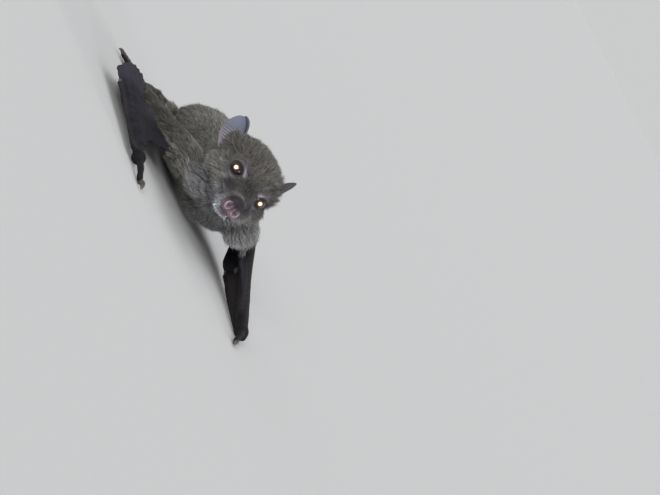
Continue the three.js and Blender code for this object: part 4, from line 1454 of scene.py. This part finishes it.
def hair_at(places):
    """Length, width and lift of the blades at places on the hide."""
    h = to_head(places)
    head = 1 - smooth_step(h[:, 1], 16, 30)
    from_nose = np.linalg.norm(h - (0, -16, -5), axis=1)
    from_ear = np.minimum(*(np.linalg.norm(h - ear["root"], axis=1) for ear in EARS.values()))
    cheek = smooth_step(-h[:, 2], 0, 5) * smooth_step(from_nose, 9, 18)
    chin = smooth_step(-h[:, 1], 8, 10.5) * smooth_step(-h[:, 2], 8.9, 9.9)
    beside_mouth = bell(np.abs(h[:, 0]), 4, 1.6) * bell(h[:, 2], -7.8, 1.8)
    sizes = np.tile((5.4, 0.23, 0.8), (len(places), 1))

    def blend(amount, length, width, lift):
        nonlocal sizes
        sizes = sizes + (np.array([length, width, lift]) - sizes) * np.clip(amount, 0, 1)[:, None]

    blend(1 - smooth_step(places[:, 2], 4, 12), 4.5, 0.27, 0.7)  # belly
    blend(smooth_step(places[:, 1], 50, 68), 4.2, 0.24, 0.8)  # rump
    blend(smooth_step(np.abs(places[:, 0] - 1), 11, 20), 3.9, 0.21, 0.36)  # shoulders and arms
    blend(head, 4.2, 0.18, 1.0)
    blend(head * cheek, 4.4, 0.18, 0.9)
    blend(head * (1 - smooth_step(from_nose, 11, 24)), 2.9, 0.17, 0.9)  # face
    blend(head * (1 - smooth_step(from_nose, 5, 13)), 1.4, 0.13, 0.6)  # snout
    blend(chin, 3.0, 0.12, 0.7)
    blend(beside_mouth * smooth_step(-h[:, 1], 8.5, 10.5), 2.3, 0.12, 0.7)
    blend(1 - smooth_step(from_ear, 5, 9), 5.6, 0.17, 1.05)
    blend(1 - smooth_step(from_pair(h, EYE_AT), 4.4, 7.2), 1.25, 0.13, 0.5)
    return sizes.T


def on_face(places):
    return 1 - smooth_step(to_head(places)[:, 1], 2, 10)


def hair_way(places, normal, lie):
    """The lie of the coat, parted round the eyes and ruffled here and there."""
    way = lie.copy()
    for side in SIDES.values():
        away = places - from_head(mirrored(EYE_AT, side))
        close = 1 - smooth_step(np.linalg.norm(away, axis=1), 4.2, 8.5)
        way += 1.3 * close[:, None] * unit(away)
    h = to_head(places)
    chin = smooth_step(-h[:, 1], 9, 12) * smooth_step(-h[:, 2], 8.4, 9.6)
    way += 2.0 * chin[:, None] * (HEAD_AXES @ np.array([0, -0.35, -0.95]))
    swirl = (patchy(places, 4.2) - 0.5) * 1.1 + (patchy(places + 57, 1.6) - 0.5) * 0.9
    headlong = smooth_step(np.abs((unit(way) * normal).sum(1)), 0.35, 0.75) * (1 - on_face(places))
    fall = np.zeros_like(places) + (0, 0.1, -0.4)
    fall[:, 0] = 0.9 * np.sign(places[:, 0])
    way = unit(way) + 4 * headlong[:, None] * fall
    way = unit(way - normal * (way * normal).sum(1, keepdims=True))
    side_way = np.cross(normal, way)
    return unit(way + side_way * swirl[:, None])


def sampled_roots(face_weight, count):
    """Roots spread evenly over the hide's triangles in proportion to a weight."""
    total = np.cumsum(face_weight)
    picks = (np.arange(count) + rng.random(count)) / count * total[-1]
    chosen = np.searchsorted(total, picks)
    share = rng.random((count, 2))
    folded = share.sum(1) > 1
    share[folded] = 1 - share[folded]
    share = np.column_stack([1 - share.sum(1), share])
    corners = hide_faces[np.minimum(chosen, len(hide_faces) - 1)]
    return corners, share


def at_roots(values, corners, share):
    return (values[corners] * (share[..., None] if values.ndim > 1 else share)).sum(1)


def blades(root, normal, way, length, width, lift, rings):
    """Closed three-sided blades of hair, each bent over from its root towards its tip."""
    count = len(root)
    beside = np.cross(way, normal)
    curl = rng.normal(0, 0.2, count)
    steps = np.linspace(0, 1, rings + 1)
    lay = 0.18 * lift
    at = root - normal * ROOT_DEPTH
    rows = []
    for k, s in enumerate(steps):
        angle = lift + (lay - lift) * min(1.0, s + 0.5 / rings)
        heading = way * np.cos(angle)[:, None] + normal * np.sin(angle)[:, None]
        crown = np.cross(beside, heading)
        sway = beside * (curl * length * s * s)[:, None]
        here = at + sway
        if k == rings:
            rows.append(here[:, None])
            break
        girth = (width * (1 - 0.55 * s**1.6))[:, None] / 2
        rows.append(np.stack([
            here - beside * girth - crown * girth * 0.3,
            here + beside * girth - crown * girth * 0.3,
            here + crown * girth * 0.75,
        ], axis=1))
        at = at + heading * (length / rings)[:, None]
    return np.concatenate(rows, axis=1)


def blade_steps(rings):
    """How far along its blade each point is, from 0 at the root to 1 at the tip."""
    return np.repeat(np.linspace(0, 1, rings + 1), [3] * rings + [1])


def blade_faces(count, rings):
    """Triangles of many blades with rings of three and a tip."""
    one = [(0, 2, 1)]
    for ring in range(rings - 1):
        low = 3 * ring
        for a in range(3):
            b = (a + 1) % 3
            one += [(low + a, low + b, low + 3 + b), (low + a, low + 3 + b, low + 3 + a)]
    low = 3 * (rings - 1)
    one += [(low + a, low + (a + 1) % 3, low + 3) for a in range(3)]
    per_blade = 3 * rings + 1
    return (np.arange(count)[:, None, None] * per_blade + np.array(one)).reshape(-1, 3)


def unwrapped(places, origin, axis):
    """Places on the hide laid flat: how far round an axis of the body and how far along it."""
    axis = unit(np.array(axis, float))
    first = across_of(UP if abs(axis[2]) < 0.9 else (1, 0, 0), axis)
    second = np.cross(axis, first)
    away = places - origin
    return np.arctan2(away @ second, -(away @ first)) / (2 * np.pi) + 0.5, away @ axis


def hair_paint(wire):
    along = attribute(wire, "along")
    shade = attribute(wire, "shade")
    grizzle = attribute(wire, "grizzle")
    tint = attribute(wire, "tint", output="Color")
    dark_root = tint.times((0.34, 0.31, 0.29))
    pale_tip = tint.times((2.7, 2.7, 2.75))
    colour = along.span(0.0, 0.62).mix(dark_root, tint)
    colour = (grizzle * along.span(0.45, 0.95)).mix(colour, pale_tip)
    own_shade = wire.node("CombineColor", {}, {0: shade, 1: shade, 2: shade})
    return {"Base Color": colour.times(own_shade)}


hair_material = material_of("coat", hair_paint, Roughness=0.6, **{
    "Sheen Weight": 0.05, "Sheen Roughness": 0.4, "Specular IOR Level": 0.15,
})


def grown(name, blade, rings, root, axis, shade, grizzle, tint):
    """A piece of the coat from its blades, each mapped as a small patch where it is rooted."""
    count = len(root)
    steps = blade_steps(rings)
    per = len(steps)
    piece = finished(name, blade.reshape(-1, 3), blade_faces(count, rings), hair_material)
    mesh = piece.data
    store(mesh, "along", np.tile(steps, count))
    store(mesh, "shade", np.repeat(shade, per))
    store(mesh, "grizzle", np.repeat(grizzle, per))
    store(mesh, "tint", np.repeat(tint, per, axis=0), kind="FLOAT_COLOR")
    flat = np.column_stack(unwrapped(root, *axis))
    flat = (flat - flat.min(0)) / (np.ptp(flat, axis=0) + 1e-6)
    within = np.zeros((per, 2))
    within[:-1, 0] = np.tile([-PATCH / 2, PATCH / 2, 0.0], rings)
    within[:, 1] = PATCH * (steps - 0.5)
    uv = (PATCH_MARGIN + (1 - 2 * PATCH_MARGIN) * flat[:, None] + within).reshape(-1, 2)
    index = np.empty(len(mesh.loops), np.int32)
    mesh.loops.foreach_get("vertex_index", index)
    layer = mesh.uv_layers.new(name="OFBake")
    layer.uv.foreach_set("vector", np.clip(uv[index], 0, 1).astype(np.float32).ravel())


def gathered(root, blade, length, rings):
    """Blades drawn together at their tips into locks."""
    count = len(root)
    centres = rng.choice(count, max(8, count // BLADES_IN_LOCK), replace=False)
    leader = centres[nearest_of(root[centres], root)]
    tip = blade[:, -1]
    pull = np.clip(rng.normal(*GATHERED, count), 0, 0.8)[:, None] * (tip[leader] - tip)
    far = np.linalg.norm(pull, axis=1)
    pull *= np.minimum(1, 0.35 * length / np.maximum(far, 1e-6))[:, None]
    return blade + pull[:, None] * (blade_steps(rings) ** 1.6)[None, :, None]


hide_normal = normals_of(points, hide_faces)
face_middle = points[hide_faces].mean(1)
a, b, c = (points[hide_faces[:, k]] for k in range(3))
face_area = np.linalg.norm(np.cross(b - a, c - a), axis=1) / 2
face_normal = unit(np.cross(b - a, c - a))
face_fur = told[:, 0][hide_faces].mean(1)
face_length, face_width, _ = hair_at(face_middle)
density = COVER / (face_length * face_width)
density *= smooth_step(face_fur, 0.06, 0.7)
density *= np.where((face_normal[:, 2] < -0.75) & (face_middle[:, 2] < 6), 0.45, 1)
face_weight = face_area * density

face_head = to_head(face_middle)
on_head = (face_head[:, 1] < 20.5) & (np.linalg.norm(face_head - (0, 6, -1), axis=1) < 24)
on_arm = {
    name: (face_middle[:, 0] * wing["side"] > 20.8) & (face_middle[:, 1] < 44) & ~on_head
    for name, wing in WINGS.items()
}
behind = face_middle[:, 1] > 44
crown = on_head & (face_head[:, 2] > 1.5) & (face_head[:, 1] > -2)
trunk_axis = ((0, 0, 17), (0, 1, 0))
head_axis = (from_head((0, 0, -2)), HEAD_AXES @ np.array([0.0, 1, 0]))
on_trunk = ~on_head & ~on_arm["left"] & ~on_arm["right"] & ~behind
low_side = face_middle[:, 2] < 13
COAT_PIECES = {
    "coat_crown_right": (crown & (face_head[:, 0] < 0), head_axis, 3),
    "coat_crown_left": (crown & (face_head[:, 0] >= 0), head_axis, 3),
    "coat_cheek_right": (on_head & ~crown & (face_head[:, 0] < 0), head_axis, 2),
    "coat_cheek_left": (on_head & ~crown & (face_head[:, 0] >= 0), head_axis, 2),
    "coat_mantle": (on_trunk & ~low_side & (face_middle[:, 1] < 14), trunk_axis, 3),
    "coat_back": (on_trunk & ~low_side & (face_middle[:, 1] >= 14), trunk_axis, 3),
    "coat_belly": (on_trunk & low_side, trunk_axis, 2),
    "coat_rump": (behind, trunk_axis, 2),
}
for name, wing in WINGS.items():
    arm_axis = (np.array(wing["shoulder"], float), np.subtract(wing["elbow"], wing["shoulder"]))
    COAT_PIECES[f"coat_arm_{name}"] = (on_arm[name], arm_axis, 3)

for name, (where, axis, rings) in COAT_PIECES.items():
    weight = face_weight * where
    count = min(int(weight.sum()), TUFT_LIMIT // len(blade_faces(1, rings)))
    corners, share = sampled_roots(weight, count)
    root = at_roots(points, corners, share)
    normal = unit(at_roots(hide_normal, corners, share))
    fur = np.clip(at_roots(told[:, 0], corners, share), 0, 1)
    guard = rng.random(count) < GUARD_SHARE
    length, width, lift = hair_at(root)
    length = length * (0.45 + 0.55 * fur) * rng.uniform(0.72, 1.18, count) * np.where(guard, 1.22, 1)
    width = width * rng.uniform(0.7, 1.25, count) * np.where(guard, 0.7, 1)
    lift = np.clip(lift * rng.uniform(0.72, 1.2, count), 0.1, 1.35)
    way = hair_way(root, normal, at_roots(told[:, 3:], corners, share))
    blade = blades(root, normal, way, length, width, lift, rings)
    blade = gathered(root, blade, length, rings)
    # Hair that would reach the floor lies pressed together just over it.
    floor_gap = rng.uniform(0.12, 0.8, count)[:, None]
    height = blade[:, :, 2]
    pressed = floor_gap * 0.5 + 0.5 * np.clip(height, 0.1, None)
    blade[:, :, 2] = np.where(height < floor_gap, pressed, height)
    shade = np.clip(rng.normal(1, SHADE_SPREAD, count), 0.35, 2.2)
    grizzle = np.where(guard, 1, rng.random(count) ** 2)
    grown(name, blade, rings, root, axis, shade, grizzle, marking(root))

# ---------------------------------------------------------------- whiskers
# Sparse stiff hairs in rows on the upper lips, above the eyes, on the cheeks and under the chin,
# each rooted in the hide and bowed back by its own spring.
WHISKER_WIDTH = 0.12
WHISKER_RINGS = 6
WHISKER_COLOUR = (0.30, 0.30, 0.32)
whiskers = []  # of the left side: where on the head, which way, how long
for row in range(3):
    for place in range(4):
        at = (3.1 + 0.3 * place, -14.6 + 1.5 * place, -5.6 - 0.9 * row)
        whiskers.append((at, (0.85, 0.1 + 0.2 * place, 0.1 - 0.22 * row), 6.5 + 1.1 * place))
for place in range(3):
    whiskers.append(((4.2 + 1.3 * place, -3.6, 5.2), (0.35 + 0.2 * place, -0.1, 0.9), 5.5))
    whiskers.append(((10.5, 1.5 + place, -4.5 - place), (1, 0.1, -0.2), 7.0))
    whiskers.append(((0.6 + 0.8 * place, -13.2 + place, -11.5), (0.25, -0.3, -0.9), 4.2))
both = [(mirrored(at, side), mirrored(way, side)) for side in SIDES.values() for at, way, _ in whiskers]
spots = [from_head(at) for at, _ in both]
ways = np.array([HEAD_AXES @ unit(way) for _, way in both])
near_face = np.flatnonzero(to_head(points)[:, 1] < 8)
rooted = near_face[nearest_of(points[near_face], spots)]
root, normal = points[rooted], hide_normal[rooted]
rise = (ways * normal).sum(1)
lift = np.clip(np.arcsin(np.clip(rise, -1, 1)), 0.3, 1.25)
way = unit(ways - normal * rise[:, None])
count = len(root)
length = np.array([long for _, _, long in whiskers] * len(SIDES)) * rng.uniform(0.8, 1.15, count)
blade = blades(root, normal, way, length, np.full(count, WHISKER_WIDTH), lift, WHISKER_RINGS)
pale = np.tile(WHISKER_COLOUR, (count, 1))
grown("whiskers", blade, WHISKER_RINGS, root, head_axis, np.ones(count), np.zeros(count), pale)

visual_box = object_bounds()
sizes = {"cad": [list(v) for v in cad_box], "visual": [list(v) for v in visual_box]}
